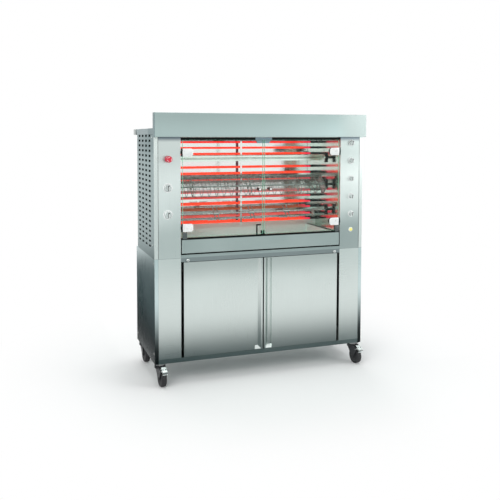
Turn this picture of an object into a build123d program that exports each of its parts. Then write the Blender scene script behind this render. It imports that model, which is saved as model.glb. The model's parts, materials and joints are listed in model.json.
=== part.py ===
import os
from math import cos, radians, sin

from build123d import *

os.makedirs("parts", exist_ok=True)

# Electric spit rotisserie oven on a two-door cabinet with castors.
# Millimetres. X runs to the right, Y to the back, Z up, and the floor is Z = 0.

# Overall sizes
body_width = 1400.0
castor_height = 135.0
cabinet_height = 638.0
cabinet_depth = 547.0
oven_height = 782.0
oven_depth = 504.0
sheet = 1.5
front_fold = 23.0
rear_fold = 20.0
seam = 0.6
bend_radius = 1.2

# Hood fascia and top cover
hood_height = 144.0
hood_drop = 52.0
hood_projection = 36.0
hood_depth = 48.0
hood_side_gap = 2.0
hood_sheet = 2.0
saddle_depth = 149.0
cover_flange = 36.0

# Cabinet front
bottom_rail_height = 27.0
top_rail_height = 25.0
top_rail_depth = 30.0
fixed_panel_width = 164.0
fixed_panel_return = 20.0
door_inner = 4.0
door_outer_gap = 17.0
door_thickness = 20.0
door_skin = 1.2
door_bottom_gap = 1.0
door_top_gap = 3.0
door_pivot_margin = 8.0
door_pivot_inset = 10.0
hinge_pin_radius = 4.0
hinge_pin_length = 12.0
running_fit = 0.05
lining_gap = 0.3

# Finger channel along the free edge of each cabinet door
channel_lip = 15.0
channel_floor_start = 33.0
channel_floor_end = 57.0
channel_depth = 14.0
channel_end_margin = 3.0
channel_slope_height = 20.0
channel_mouth = 1.0

# Studs and screws
stud_margin = 24.0
stud_drop = 16.0
stud_radius = 10.5
stud_length = 14.0
screw_radius = 5.0
screw_head = 2.0
screw_taper = 30.0
seam_screw_radius = 3.0
seam_screw_height = 49.0
cabinet_screw_places = [(24.0, 60.0), (32.0, 606.0), (514.0, 51.0), (522.0, 608.0)]
oven_screw_places = [(40.0, 80.0), (51.0, 727.0), (488.0, 62.0), (488.0, 722.0)]

# Castors
castor_side_inset = 40.0
castor_inset = 40.0
castor_turn = 5.0
castor_trail = 38.0
castor_plate_size = 70.0
castor_plate = 3.0
castor_plate_corner = 8.0
castor_flange_depth = 82.0
race_height = 10.0
race_radius = 26.0
swivel_gap = 0.3
kingpin_radius = 5.0
kingpin_head = 5.0
kingpin_head_radius = 8.5
plate_bolt_radius = 5.0
plate_bolt_head = 4.0
plate_bolt_spacing = 54.0
crown_radius = 34.0
crown_thickness = 5.0
crown_skirt_wall = 3.0
crown_skirt_height = 13.0
wheel_radius = 50.0
wheel_width = 32.0
wheel_edge_radius = 6.0
wheel_hub_radius = 13.0
wheel_rim_radius = 37.0
wheel_recess = 6.0
axle_radius = 4.0
leg_inner = 19.0
leg_thickness = 5.0
leg_foot_radius = 13.0
leg_head_radius = 8.0
leg_head_y = 18.0
axle_head_radius = 7.0
axle_head = 3.0
brake_pivot_y = -70.0
brake_pivot_z = 101.0
brake_lug_radius = 8.0
brake_hub_radius = 6.0
brake_pin_radius = 3.0
brake_shoe_reach = 9.4
brake_pad_length = 34.0
brake_pad_width = 30.0
brake_pad_thickness = 5.0
brake_pad_slope = 10.0

# Oven shell
column_width = 163.0
panel_seam = 2.5
jamb_depth = 18.0
panel_outer_return = 20.0
base_strip_height = 18.0
base_strip_return = 12.0

# Side louvres, pressed inwards and open along their upper edge
louvre_rows = 23
louvre_row_pitch = 30.6
louvre_first_row = 62.5
louvre_columns = 4
louvre_column_pitch = 100.5
louvre_first_column = 122.0
louvre_length = 54.0
louvre_height = 18.0
louvre_depth = 14.0
louvre_wall = 1.5

# Oven back
vent_rows = 3
vent_columns = 10
vent_pitch_share = 0.0714
vent_pitch_z = 24.0
vent_length = 64.0
vent_height = 6.0
vent_centre = 690.0
gland_side_inset = 140.0
gland_rise = 62.0
gland_bore = 6.5
gland_stem_radius = 10.0
gland_nut_radius = 15.0
gland_nut = 9.0
gland_cap_radius = 12.0
gland_cap = 11.0
gland_tail = 8.0
gland_cap_edge = 3.0

# Rear wall spacer
spacer_gap = 52.0
spacer_depth = 65.0
spacer_height = 37.0
spacer_sheet = 2.0
spacer_bracket_inset = 200.0
spacer_bracket_width = 40.0
spacer_bracket_thickness = 4.0

# Roasting chamber
chamber_side_gap = 110.0
chamber_floor = 115.0
chamber_top_gap = 53.5
chamber_depth = 460.0
ledge_reach = 13.0
element_y = 421.0
element_radius = 6.5
element_shares = [0.209, 0.264, 0.328, 0.38, 0.437, 0.49, 0.601, 0.663, 0.721, 0.846, 0.902, 0.955]
support_width = 12.0
support_thickness = 3.0
support_standoff_radius = 4.0
support_standoff_heights = [215.0, 398.0, 570.0]
support_foot_gap = 8.0

# Drip tray
tray_front_gap = 6.0
tray_front_bottom = 26.0
tray_front_top = 114.0
tray_front_return = 12.0
tray_side_gap = 21.0
tray_bottom = 52.0
tray_rim = 110.0
tray_rear = 452.0
runner_inset = 51.0
runner_width = 18.0
runner_start = 30.0
runner_end = 440.0
tray_lift_gap = 0.3

# Glass doors
glass_thickness = 6.0
glass_setback = 1.0
glass_inner = 4.0
glass_side_gap = 10.0
glass_bottom = 124.0
glass_top_gap = 2.0
glass_edge = 0.6
plate_side_gap = 11.0
plate_length = 66.0
plate_height = 48.0
plate_thickness = 6.0
plate_corner = 10.0
plate_slot_inset = 10.0
plate_slot_length = 30.0
plate_slot_width = 5.0
plate_slot_depth = 3.0
plate_rise = 58.0
plate_drop = 75.0
pad_radius = 24.0
pad_inset = 25.0
pad_thickness = 14.0
glass_hinge_gap = 5.0
glass_hinge_forward = 3.0
knuckle_radius = 4.0
knuckle_half = 8.7
knuckle_gap = 0.3
glass_pin_radius = 2.0
hinge_leaf = 1.8
hinge_leaf_rear = 15.0
hinge_leaf_front = 4.0
clip_width = 27.0
clip_length = 40.0
clip_wall = 5.0
pull_x = 36.0
pull_height = 406.0
pull_radius = 15.0
pull_length = 32.0
pull_neck_radius = 9.0
pull_neck = 8.0
pull_washer = 3.0
pull_edge = 2.0

# Header, sill and door catches
header_height = 14.0
header_ceiling_gap = 0.5
header_front = 3.0
sill_bottom = 114.6
sill_top = 119.0
top_catch_half = 52.0
top_catch_drop = 22.0
top_catch_taper = 12.0
top_catch_front = 8.0
top_catch_rear = 16.0
low_catch_half = 14.0
low_catch_rise = 25.0
hook_x = -28.0
hook_half = 16.0
hook_rise = 69.0
hook_bar = 8.0

# Controls
control_share = 0.575
left_knob_heights = [426.0, 265.0]
right_knob_heights = [692.0, 576.0, 460.0, 343.5, 228.0]
left_knob_radius = 22.5
left_ring_radius = 29.0
right_knob_radius = 15.0
right_ring_radius = 21.0
ring_thickness = 2.0
ring_hole_radius = 8.0
knob_base = 8.0
knob_grip_height = 17.0
knob_grip_width = 10.0
knob_edge_radius = 1.5
knob_shaft_radius = 4.0
knob_shaft_reach = 20.0
switch_depth = 36.0
switch_bore_depth = 24.0
left_switch_width = 34.0
right_switch_width = 26.0
switch_height = 36.0
estop_height = 598.0
estop_cap_radius = 21.0
estop_cap_rear = 27.0
estop_protrusion = 45.0
estop_dome = 6.0
estop_stem_radius = 8.0
estop_collar_radius = 16.0
estop_collar = 14.0
estop_reach = 14.0
estop_travel = 6.0
lamp_height = 124.0
lamp_radius = 9.0
lamp_lens_radius = 10.0
lamp_lens = 8.0
lamp_reach = 16.0
lamp_bezel_radius = 15.0
lamp_bezel = 4.0

# Spits
spit_y = 240.0
spit_heights = [591.0, 408.0, 234.0]
spit_radius = 6.0
spit_square = 12.0
spit_wall_gap = 7.0
socket_clearance = 0.3
coupling_length = 17.0
coupling_radius = 13.0
coupling_wall_gap = 20.0
coupling_shaft_radius = 8.0
coupling_socket_depth = 13.0
coupling_arm_rise = 35.0
coupling_arm_drop = 33.0
coupling_arm_lip = 13.0
coupling_arm_neck = 9.0
coupling_foot_lip = 4.0
coupling_foot_top = 21.0
coupling_arm_thickness = 13.0
motor_length = 70.0
motor_size = 64.0
motor_bore_depth = 22.0
motor_shaft_reach = 20.0
bearing_length = 20.0
bearing_width = 30.0
bearing_drop = 16.0
bearing_rise = 8.0

# Blade spit
blade_height = 36.0
blade_thickness = 5.0
blade_margin = 25.0

# Basket spit
basket_tilt = 47.0
basket_left_margin = 88.0
basket_right_margin = 28.0
basket_width = 125.0
basket_depth = 70.0
basket_wire = 4.0
basket_rings = 20
basket_bars = 2
basket_side_bars = 1
basket_clearance = 0.3
basket_lid_gap = 1.2
basket_hinge_ear = 5.0
basket_hinge_end = 2.0
basket_end_plate = 3.0
basket_frame_shares = [0.09, 0.475, 0.828, 0.941]
basket_frame = 4.0
basket_frame_rail = 5.0
closing_bar_height = 15.0
closing_bar_thickness = 3.0
closing_bar_gap = 1.0

# Fork spit
second_rod_drop = 36.0
second_rod_radius = 4.0
second_rod_left_margin = 83.0
second_rod_right_margin = 83.0
fork_shares = [0.305, 0.521, 0.744]
fork_pair_gap = 24.0
fork_span = 110.0
fork_bar = 8.0
fork_bar_thickness = 4.0
fork_tine_length = 55.0
fork_tine_radius = 2.5
fork_hub_radius = 11.0
fork_hub_length = 36.0
rod_clamp_width = 16.0

# Places worked out from the sizes above
half = body_width / 2
opening_half = half - column_width
chamber_half = half - chamber_side_gap
castor_x = half - castor_side_inset
gland_x = half - gland_side_inset
spacer_bracket_x = half - spacer_bracket_inset
vent_pitch_x = body_width * vent_pitch_share
fixed_panel_inner = half - fixed_panel_width
door_outer = fixed_panel_inner - door_outer_gap
door_pivot_x = door_outer - door_pivot_margin
stud_x = door_outer - stud_margin
ledge_inner = opening_half - ledge_reach
tray_front_half = opening_half - tray_front_gap
tray_half = opening_half - tray_side_gap
runner_inner = opening_half - runner_inset
glass_outer = opening_half - glass_side_gap
glass_hinge_x = opening_half - glass_hinge_gap
plate_outer = opening_half - plate_side_gap
plate_inner = plate_outer - plate_length
plate_slot_x = plate_outer - plate_slot_inset
pad_x = plate_inner + pad_inset
clip_inner = plate_outer - clip_width
chamber_ceiling = oven_height - chamber_top_gap
header_top = chamber_ceiling - header_ceiling_gap
header_bottom = header_top - header_height
glass_top = header_bottom - glass_top_gap
plate_heights = [glass_bottom + plate_rise, glass_top - plate_drop]
element_heights = [share * chamber_ceiling for share in element_shares]
coupling_rear = chamber_half - coupling_wall_gap
coupling_face = coupling_rear - coupling_length
spit_left_end = spit_wall_gap - chamber_half
basket_start = spit_left_end + basket_left_margin
basket_end = coupling_face - basket_right_margin
basket_length = basket_end - basket_start
basket_frame_places = [basket_start + share * basket_length for share in basket_frame_shares]
second_rod_start = spit_left_end + second_rod_left_margin
second_rod_end = coupling_face - second_rod_right_margin
fork_places = [spit_left_end + share * (coupling_face - spit_left_end) for share in fork_shares]
cabinet_z = castor_height
cabinet_top_z = castor_height + cabinet_height
oven_z = cabinet_top_z
oven_top_z = oven_z + oven_height
hood_bottom_z = oven_top_z - hood_drop
hood_top_z = hood_bottom_z + hood_height
hood_half = half + hood_side_gap + hood_sheet
brake_pad_tip = brake_pivot_y - brake_pad_length * cos(radians(brake_pad_slope))
turned_half_pad = brake_pad_width / 2 * sin(radians(castor_turn))
front_reach = turned_half_pad - brake_pad_tip * cos(radians(castor_turn)) - castor_inset
rear_reach = oven_depth + sheet + spacer_gap + spacer_depth
front = (front_reach - rear_reach) / 2
cabinet_back = front + cabinet_depth
oven_back_y = front + oven_depth
deck_z = cabinet_z + bottom_rail_height
door_bottom_z = deck_z + door_bottom_gap
top_rail_z = cabinet_top_z - top_rail_height
door_top_z = top_rail_z - door_top_gap
door_pivot_y = front + door_pivot_inset
base_top_z = oven_z + sheet
panel_outer = half - front_fold - panel_seam
column_clear = panel_outer - opening_half
right_control_x = opening_half + control_share * column_clear
left_control_x = -right_control_x
glass_front = front + glass_setback
glass_rear = glass_front + glass_thickness
glass_hinge_y = front - glass_hinge_forward
header_rear = front + jamb_depth
liner_front = front + jamb_depth
reflector_y = front + chamber_depth
spit_axis_y = front + spit_y
castor_rear = cabinet_back - castor_inset
castor_places = {
    "front_left": (-castor_x, front + castor_inset),
    "front_right": (castor_x, front + castor_inset),
    "rear_left": (-castor_x, castor_rear),
    "rear_right": (castor_x, castor_rear),
}
crown_top = castor_height - castor_plate - race_height - swivel_gap
crown_bottom = crown_top - crown_thickness


def save(piece, name):
    piece.label = name
    export_step(piece, f"parts/{name}.step")


def slab(x, y, z, mode=Mode.ADD):
    """A rectangular block between the two ends given on each axis."""
    with Locations(((x[0] + x[1]) / 2, (y[0] + y[1]) / 2, (z[0] + z[1]) / 2)):
        Box(abs(x[1] - x[0]), abs(y[1] - y[0]), abs(z[1] - z[0]), mode=mode)


def across(reach):
    """The two ends of a span centred on the middle of the oven."""
    return (-reach, reach)


def facing_front(x, y, z):
    """A plane at a point, whose normal points to the front of the oven."""
    return Plane(origin=(x, y, z), x_dir=(1, 0, 0), z_dir=(0, -1, 0))


def facing_right(x, y, z):
    """A plane at a point, whose normal points along +X and whose own x is +Y."""
    return Plane(origin=(x, y, z), x_dir=(0, 1, 0), z_dir=(1, 0, 0))


# Base cabinet
def cabinet_side(side):
    height = (cabinet_z, cabinet_top_z - sheet)
    with BuildPart() as panel:
        slab((side * half, side * (half - sheet)), (front, cabinet_back), height)
        slab((side * half, side * (half - front_fold)), (front, front + sheet), height)
        slab((side * half, side * (half - rear_fold)), (cabinet_back - sheet, cabinet_back), height)
        corner = panel.edges().filter_by(Axis.Z).group_by(Axis.Y)[0].sort_by(Axis.X)
        fillet(corner[-1] if side > 0 else corner[0], radius=bend_radius)
    return panel.part


def finger_channel(side, wall):
    """The channel's space, grown by a wall, with a sloped lower end."""
    bottom_z = door_bottom_z + channel_end_margin - wall
    top_z = door_top_z - channel_end_margin + wall
    floor_y = front + channel_depth + wall
    slope = Plane(
        origin=(0, front, bottom_z),
        x_dir=(1, 0, 0),
        z_dir=(0, -channel_slope_height, channel_depth),
    )
    with BuildPart() as channel:
        with BuildSketch(Plane.XY.offset(bottom_z)):
            with BuildLine():
                Polyline(
                    (side * (channel_lip - wall), front - channel_mouth),
                    (side * (channel_lip - wall), front),
                    (side * (channel_floor_start - wall), floor_y),
                    (side * (channel_floor_end + wall), floor_y),
                    (side * (channel_floor_end + wall), front - channel_mouth),
                    close=True,
                )
            make_face()
        extrude(amount=top_z - bottom_z)
        split(bisect_by=slope, keep=Keep.TOP)
    return channel.part


def cabinet_door(side):
    pivot = (side * door_pivot_x, door_pivot_y)
    inset = door_skin + lining_gap
    with BuildPart() as hollow:
        slab(
            (side * (door_inner + door_skin), side * (door_outer - door_skin)),
            (front + door_skin, front + door_thickness),
            (door_bottom_z + door_skin, door_top_z - door_skin),
        )
        add(finger_channel(side, door_skin), mode=Mode.SUBTRACT)
    with BuildPart() as door:
        slab(
            (side * door_inner, side * door_outer),
            (front, front + door_thickness),
            (door_bottom_z, door_top_z),
        )
        fillet(door.edges().filter_by(Axis.Z).group_by(Axis.Y)[0], radius=bend_radius)
        add(finger_channel(side, 0.0), mode=Mode.SUBTRACT)
        add(hollow.part, mode=Mode.SUBTRACT)
        with BuildSketch(Plane.XY.offset(door_bottom_z)):
            with Locations(pivot):
                Circle(hinge_pin_radius + running_fit)
        extrude(amount=door_top_z - door_bottom_z, mode=Mode.SUBTRACT)
        slab(
            (side * (door_inner + inset), side * (door_outer - inset)),
            (front + door_thickness - door_skin, front + door_thickness),
            (door_bottom_z + inset, door_top_z - inset),
        )
    return door.part


inside = half - sheet
inside_back = cabinet_back - 2 * sheet
with BuildPart() as cabinet_floor:
    slab(across(inside), (front + sheet, inside_back), (deck_z - sheet, deck_z))
    slab(across(half - front_fold), (front, front + sheet), (cabinet_z, deck_z))
    flange = (cabinet_z, cabinet_z + sheet)
    slab(across(inside), (front + sheet, front + castor_flange_depth), flange)
    slab(across(inside), (inside_back, cabinet_back - castor_flange_depth), flange)
    for side in (-1, 1):
        slab(
            (side * inside, side * (inside - sheet)),
            (front + sheet, inside_back),
            (cabinet_z, deck_z),
        )
    with BuildSketch(Plane.XY.offset(deck_z)):
        with Locations((-door_pivot_x, door_pivot_y), (door_pivot_x, door_pivot_y)):
            Circle(hinge_pin_radius)
    extrude(amount=hinge_pin_length)
save(cabinet_floor.part, "cabinet_floor")

with BuildPart() as cabinet_back_panel:
    slab(
        across(inside),
        (inside_back, inside_back + sheet),
        (cabinet_z, cabinet_top_z - sheet),
    )
save(cabinet_back_panel.part, "cabinet_back")

with BuildPart() as cabinet_top:
    slab(across(half), (front, cabinet_back), (cabinet_top_z - sheet, cabinet_top_z))
    slab(
        across(fixed_panel_inner),
        (front, front + sheet),
        (top_rail_z, cabinet_top_z - sheet),
    )
    slab(
        across(fixed_panel_inner),
        (front, front + top_rail_depth),
        (top_rail_z, top_rail_z + sheet),
    )
    with BuildSketch(Plane.XY.offset(top_rail_z)):
        with Locations((-door_pivot_x, door_pivot_y), (door_pivot_x, door_pivot_y)):
            Circle(hinge_pin_radius)
    extrude(amount=-hinge_pin_length)
save(cabinet_top.part, "cabinet_top")

with BuildPart() as cabinet_front_panels:
    height = (deck_z, cabinet_top_z - sheet)
    for side in (-1, 1):
        slab(
            (side * fixed_panel_inner, side * (half - front_fold - seam)),
            (front, front + sheet),
            height,
        )
        slab(
            (side * fixed_panel_inner, side * (fixed_panel_inner + sheet)),
            (front, front + fixed_panel_return),
            height,
        )
    front_corners = cabinet_front_panels.edges().filter_by(Axis.Z).group_by(Axis.Y)[0]
    fillet(front_corners.sort_by(Axis.X)[1:3], radius=bend_radius)
save(cabinet_front_panels.part, "cabinet_front_panels")

for side, hand in ((-1, "left"), (1, "right")):
    save(cabinet_side(side), f"cabinet_side_{hand}")
    save(cabinet_door(side), f"cabinet_door_{hand}")


# Castors: plates fixed to the cabinet, swivelling forks, wheels and brake pedals
def castor_frame(x, y):
    turn = radians(castor_turn)
    return Plane(origin=(x, y, 0), x_dir=(cos(turn), sin(turn), 0), z_dir=(0, 0, 1))


def cross_plane(frame, offset_x):
    """A plane square to the axle, whose own x runs along the castor and own y runs up."""
    return Plane(
        origin=frame.from_local_coords((offset_x, 0, 0)),
        x_dir=frame.y_dir,
        z_dir=frame.x_dir,
    )


with BuildPart() as castor_plates:
    for x, y in castor_places.values():
        with BuildSketch(Plane.XY.offset(castor_height)):
            with Locations((x, y)):
                RectangleRounded(castor_plate_size, castor_plate_size, castor_plate_corner)
        extrude(amount=-castor_plate)
        with BuildSketch(Plane.XY.offset(castor_height - castor_plate)):
            with Locations((x, y)):
                Circle(race_radius)
        extrude(amount=-race_height)
        with BuildSketch(Plane.XY.offset(castor_height - castor_plate)):
            with Locations((x, y)):
                with GridLocations(plate_bolt_spacing, plate_bolt_spacing, 2, 2):
                    Circle(plate_bolt_radius)
        extrude(amount=-plate_bolt_head)
        with BuildSketch(Plane.XY.offset(crown_bottom - swivel_gap)):
            with Locations((x, y)):
                Circle(kingpin_radius)
        extrude(amount=crown_top - crown_bottom + 3 * swivel_gap)
        with BuildSketch(Plane.XY.offset(crown_bottom - swivel_gap)):
            with Locations((x, y)):
                Circle(kingpin_head_radius)
        extrude(amount=-kingpin_head)
save(castor_plates.part, "castor_plates")


def castor_fork(x, y, braked):
    frame = castor_frame(x, y)
    with BuildPart() as fork:
        with BuildSketch(frame.offset(crown_bottom)):
            Circle(crown_radius)
        extrude(amount=crown_thickness)
        with BuildSketch(frame.offset(crown_bottom)):
            Circle(crown_radius)
            Circle(crown_radius - crown_skirt_wall, mode=Mode.SUBTRACT)
        extrude(amount=-crown_skirt_height)
        for leg_start in (-leg_inner - leg_thickness, leg_inner):
            with BuildSketch(cross_plane(frame, leg_start)):
                with Locations((-castor_trail, wheel_radius)):
                    Circle(leg_foot_radius)
                with Locations((leg_head_y, crown_bottom), (-leg_head_y, crown_bottom)):
                    Circle(leg_head_radius)
                if braked:
                    with Locations((brake_pivot_y, brake_pivot_z)):
                        Circle(brake_lug_radius)
                make_hull()
                with Locations((0, crown_top + crown_radius)):
                    Rectangle(4 * crown_radius, 2 * crown_radius, mode=Mode.SUBTRACT)
            extrude(amount=leg_thickness)
        with BuildSketch(frame.offset(crown_top)):
            Circle(kingpin_radius + running_fit)
        extrude(amount=-crown_thickness, mode=Mode.SUBTRACT)
        reach = leg_inner + leg_thickness
        with BuildSketch(cross_plane(frame, -reach)):
            with Locations((-castor_trail, wheel_radius)):
                Circle(axle_radius + running_fit)
            if braked:
                with Locations((brake_pivot_y, brake_pivot_z)):
                    Circle(brake_pin_radius + running_fit)
        extrude(amount=2 * reach, mode=Mode.SUBTRACT)
        with BuildSketch(cross_plane(frame, -reach)):
            with Locations((-castor_trail, wheel_radius)):
                Circle(axle_radius)
        extrude(amount=2 * reach)
        for head_start in (-reach - running_fit - axle_head, reach + running_fit):
            with BuildSketch(cross_plane(frame, head_start)):
                with Locations((-castor_trail, wheel_radius)):
                    RegularPolygon(axle_head_radius, 6)
            extrude(amount=axle_head)
        with BuildSketch(cross_plane(frame, -reach - running_fit - axle_head)):
            with Locations((-castor_trail, wheel_radius)):
                Circle(axle_radius)
        extrude(amount=2 * (reach + running_fit + axle_head))
    return fork.part


def castor_wheel(x, y):
    frame = castor_frame(x, y)
    centre = (-castor_trail, wheel_radius)
    hub_half = leg_inner - swivel_gap
    with BuildPart() as wheel:
        with BuildSketch(cross_plane(frame, -wheel_width / 2)):
            with Locations(centre):
                Circle(wheel_radius)
        extrude(amount=wheel_width)
        fillet(wheel.edges().filter_by(GeomType.CIRCLE), radius=wheel_edge_radius)
        for recess_start in (-wheel_width / 2, wheel_width / 2 - wheel_recess):
            with BuildSketch(cross_plane(frame, recess_start)):
                with Locations(centre):
                    Circle(wheel_rim_radius)
            extrude(amount=wheel_recess, mode=Mode.SUBTRACT)
        with BuildSketch(cross_plane(frame, -hub_half)):
            with Locations(centre):
                Circle(wheel_hub_radius)
        extrude(amount=2 * hub_half)
        with BuildSketch(cross_plane(frame, -hub_half)):
            with Locations(centre):
                Circle(axle_radius + running_fit)
        extrude(amount=2 * hub_half, mode=Mode.SUBTRACT)
    return wheel.part


def castor_brake(x, y):
    frame = castor_frame(x, y)
    pivot = (brake_pivot_y, brake_pivot_z)
    slope = radians(brake_pad_slope)
    tip = (
        brake_pivot_y - brake_pad_length * cos(slope),
        brake_pivot_z - brake_pad_length * sin(slope),
    )
    hub_half = leg_inner - swivel_gap
    pin_half = leg_inner + leg_thickness
    with BuildPart() as brake:
        with BuildSketch(cross_plane(frame, -hub_half)):
            with Locations(pivot):
                Circle(brake_hub_radius)
        extrude(amount=2 * hub_half)
        with BuildSketch(cross_plane(frame, -pin_half)):
            with Locations(pivot):
                Circle(brake_pin_radius)
        extrude(amount=2 * pin_half)
        with BuildSketch(cross_plane(frame, -brake_pad_width / 2)):
            with BuildLine():
                Polyline(
                    (brake_pivot_y, brake_pivot_z + brake_pad_thickness / 2),
                    (tip[0], tip[1] + brake_pad_thickness),
                    tip,
                    (brake_pivot_y, brake_pivot_z - brake_pad_thickness / 2),
                    close=True,
                )
            make_face()
        extrude(amount=brake_pad_width)
        with BuildSketch(cross_plane(frame, -wheel_width / 4)):
            with Locations((brake_pivot_y, brake_pivot_z - brake_shoe_reach / 2)):
                Rectangle(brake_hub_radius, brake_shoe_reach)
        extrude(amount=wheel_width / 2)
    return brake.part


for place, (x, y) in castor_places.items():
    braked = place.startswith("front")
    save(castor_fork(x, y, braked), f"castor_fork_{place}")
    save(castor_wheel(x, y), f"castor_wheel_{place}")
    if braked:
        save(castor_brake(x, y), f"castor_brake_{place}")


# Oven shell
def louvre_sections(column_y, low, high, inner, deep, side):
    """Triangular pockets in one column: they start at the sheet and slope inwards and up."""
    with BuildSketch(facing_front(0, column_y, 0)) as sections:
        for row in range(louvre_rows):
            centre = oven_z + louvre_first_row + row * louvre_row_pitch
            with BuildLine():
                Polyline(
                    (side * (half - inner), centre - low),
                    (side * (half - inner), centre + high),
                    (side * (half - deep), centre + high),
                    close=True,
                )
            make_face()
    return sections.sketch


def oven_side(side):
    height = (oven_z, oven_top_z - sheet)
    half_louvre = louvre_height / 2
    cheek = louvre_length / 2 + louvre_wall
    with BuildPart() as panel:
        slab((side * half, side * (half - sheet)), (front, oven_back_y), height)
        slab((side * half, side * (half - front_fold)), (front, front + sheet), height)
        slab((side * half, side * (half - rear_fold)), (oven_back_y - sheet, oven_back_y), height)
        corner = panel.edges().filter_by(Axis.Z).group_by(Axis.Y)[0].sort_by(Axis.X)
        fillet(corner[-1] if side > 0 else corner[0], radius=bend_radius)
        for column in range(louvre_columns):
            column_y = front + louvre_first_column + column * louvre_column_pitch
            pockets = louvre_sections(
                column_y - cheek,
                half_louvre + louvre_wall,
                half_louvre,
                sheet / 2,
                sheet + louvre_depth + louvre_wall,
                side,
            )
            extrude(pockets, amount=-2 * cheek)
        for column in range(louvre_columns):
            column_y = front + louvre_first_column + column * louvre_column_pitch
            mouths = louvre_sections(
                column_y - louvre_length / 2,
                half_louvre,
                half_louvre,
                -sheet,
                sheet + louvre_depth,
                side,
            )
            extrude(mouths, amount=-louvre_length, mode=Mode.SUBTRACT)
    return panel.part


def control_panel(side):
    """Front column beside the glass, with holes for its controls and a folded door jamb."""
    holes = []
    if side < 0:
        holes += [(left_control_x, height, knob_shaft_radius) for height in left_knob_heights]
        holes.append((left_control_x, estop_height, estop_stem_radius))
    else:
        holes += [(right_control_x, height, knob_shaft_radius) for height in right_knob_heights]
        holes.append((right_control_x, lamp_height, lamp_radius))
    face_z = (oven_z, oven_top_z - sheet)
    return_z = (base_top_z, oven_top_z - sheet)
    with BuildPart() as panel:
        slab((side * opening_half, side * panel_outer), (front, front + sheet), face_z)
        slab(
            (side * opening_half, side * (opening_half + sheet)),
            (front + sheet, front + jamb_depth),
            return_z,
        )
        slab(
            (side * panel_outer, side * (panel_outer - sheet)),
            (front + sheet, front + panel_outer_return),
            return_z,
        )
        front_edges = panel.edges().filter_by(Axis.Z).group_by(Axis.Y)[0]
        fillet(front_edges, radius=bend_radius)
        for x, height, radius in holes:
            with BuildSketch(facing_front(x, front, oven_z + height)):
                Circle(radius + running_fit)
            extrude(amount=-sheet, mode=Mode.SUBTRACT)
    return panel.part


for side, hand in ((-1, "left"), (1, "right")):
    save(oven_side(side), f"oven_side_{hand}")
    save(control_panel(side), f"control_panel_{hand}")

oven_inside_back = oven_back_y - 2 * sheet
gland_z = oven_z + gland_rise
with BuildPart() as oven_back:
    slab(
        across(inside),
        (oven_inside_back, oven_inside_back + sheet),
        (oven_z, oven_top_z - sheet),
    )
    with BuildSketch(facing_front(0, oven_inside_back, oven_z + vent_centre)):
        with GridLocations(vent_pitch_x, vent_pitch_z, vent_columns, vent_rows):
            SlotOverall(vent_length, vent_height)
    extrude(amount=-sheet, mode=Mode.SUBTRACT)
    with BuildSketch(facing_front(gland_x, oven_inside_back, gland_z)):
        Circle(gland_stem_radius + running_fit)
    extrude(amount=-sheet, mode=Mode.SUBTRACT)
save(oven_back.part, "oven_back")

gland_face = oven_inside_back + sheet
with BuildPart() as cable_gland:
    with BuildSketch(facing_front(gland_x, gland_face, gland_z)):
        Circle(gland_stem_radius)
    extrude(amount=gland_tail)
    with BuildSketch(facing_front(gland_x, gland_face, gland_z)):
        RegularPolygon(gland_nut_radius, 6)
    extrude(amount=-gland_nut)
    with BuildSketch(facing_front(gland_x, gland_face + gland_nut, gland_z)):
        Circle(gland_cap_radius)
    extrude(amount=-gland_cap)
    gland_end = cable_gland.faces().sort_by(Axis.Y)[-1]
    fillet(gland_end.edges(), radius=gland_cap_edge)
    with BuildSketch(facing_front(gland_x, gland_face - gland_tail, gland_z)):
        Circle(gland_bore)
    extrude(amount=-(gland_tail + gland_nut + gland_cap), mode=Mode.SUBTRACT)
save(cable_gland.part, "cable_gland")

tray_seat_z = oven_z + tray_bottom - tray_lift_gap
with BuildPart() as oven_base:
    slab(across(inside), (front + sheet, oven_inside_back), (oven_z, base_top_z))
    strip_top = oven_z + base_strip_height
    slab(across(opening_half - seam), (front, front + sheet), (oven_z, strip_top))
    slab(
        across(opening_half - seam),
        (front, front + base_strip_return),
        (strip_top - sheet, strip_top),
    )
    for side in (-1, 1):
        runner_y = (front + runner_start, front + runner_end)
        slab(
            (side * runner_inner, side * (runner_inner + runner_width)),
            runner_y,
            (tray_seat_z - sheet, tray_seat_z),
        )
        slab(
            (side * runner_inner, side * (runner_inner + sheet)),
            runner_y,
            (base_top_z, tray_seat_z),
        )
save(oven_base.part, "oven_base")

saddle_back = front + saddle_depth
with BuildPart() as oven_top_cover:
    plate_half = half + hood_side_gap
    cover_y = (saddle_back, oven_back_y + sheet)
    slab(across(plate_half), cover_y, (oven_top_z - sheet, oven_top_z))
    for side in (-1, 1):
        slab(
            (side * half, side * plate_half),
            cover_y,
            (oven_top_z - cover_flange, oven_top_z),
        )
    slab(
        across(half),
        (oven_back_y, oven_back_y + sheet),
        (oven_top_z - cover_flange, oven_top_z),
    )
    fillet(
        oven_top_cover.edges().filter_by(Axis.Y).group_by(Axis.Z)[-1],
        radius=bend_radius,
    )
save(oven_top_cover.part, "oven_top_cover")

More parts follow.
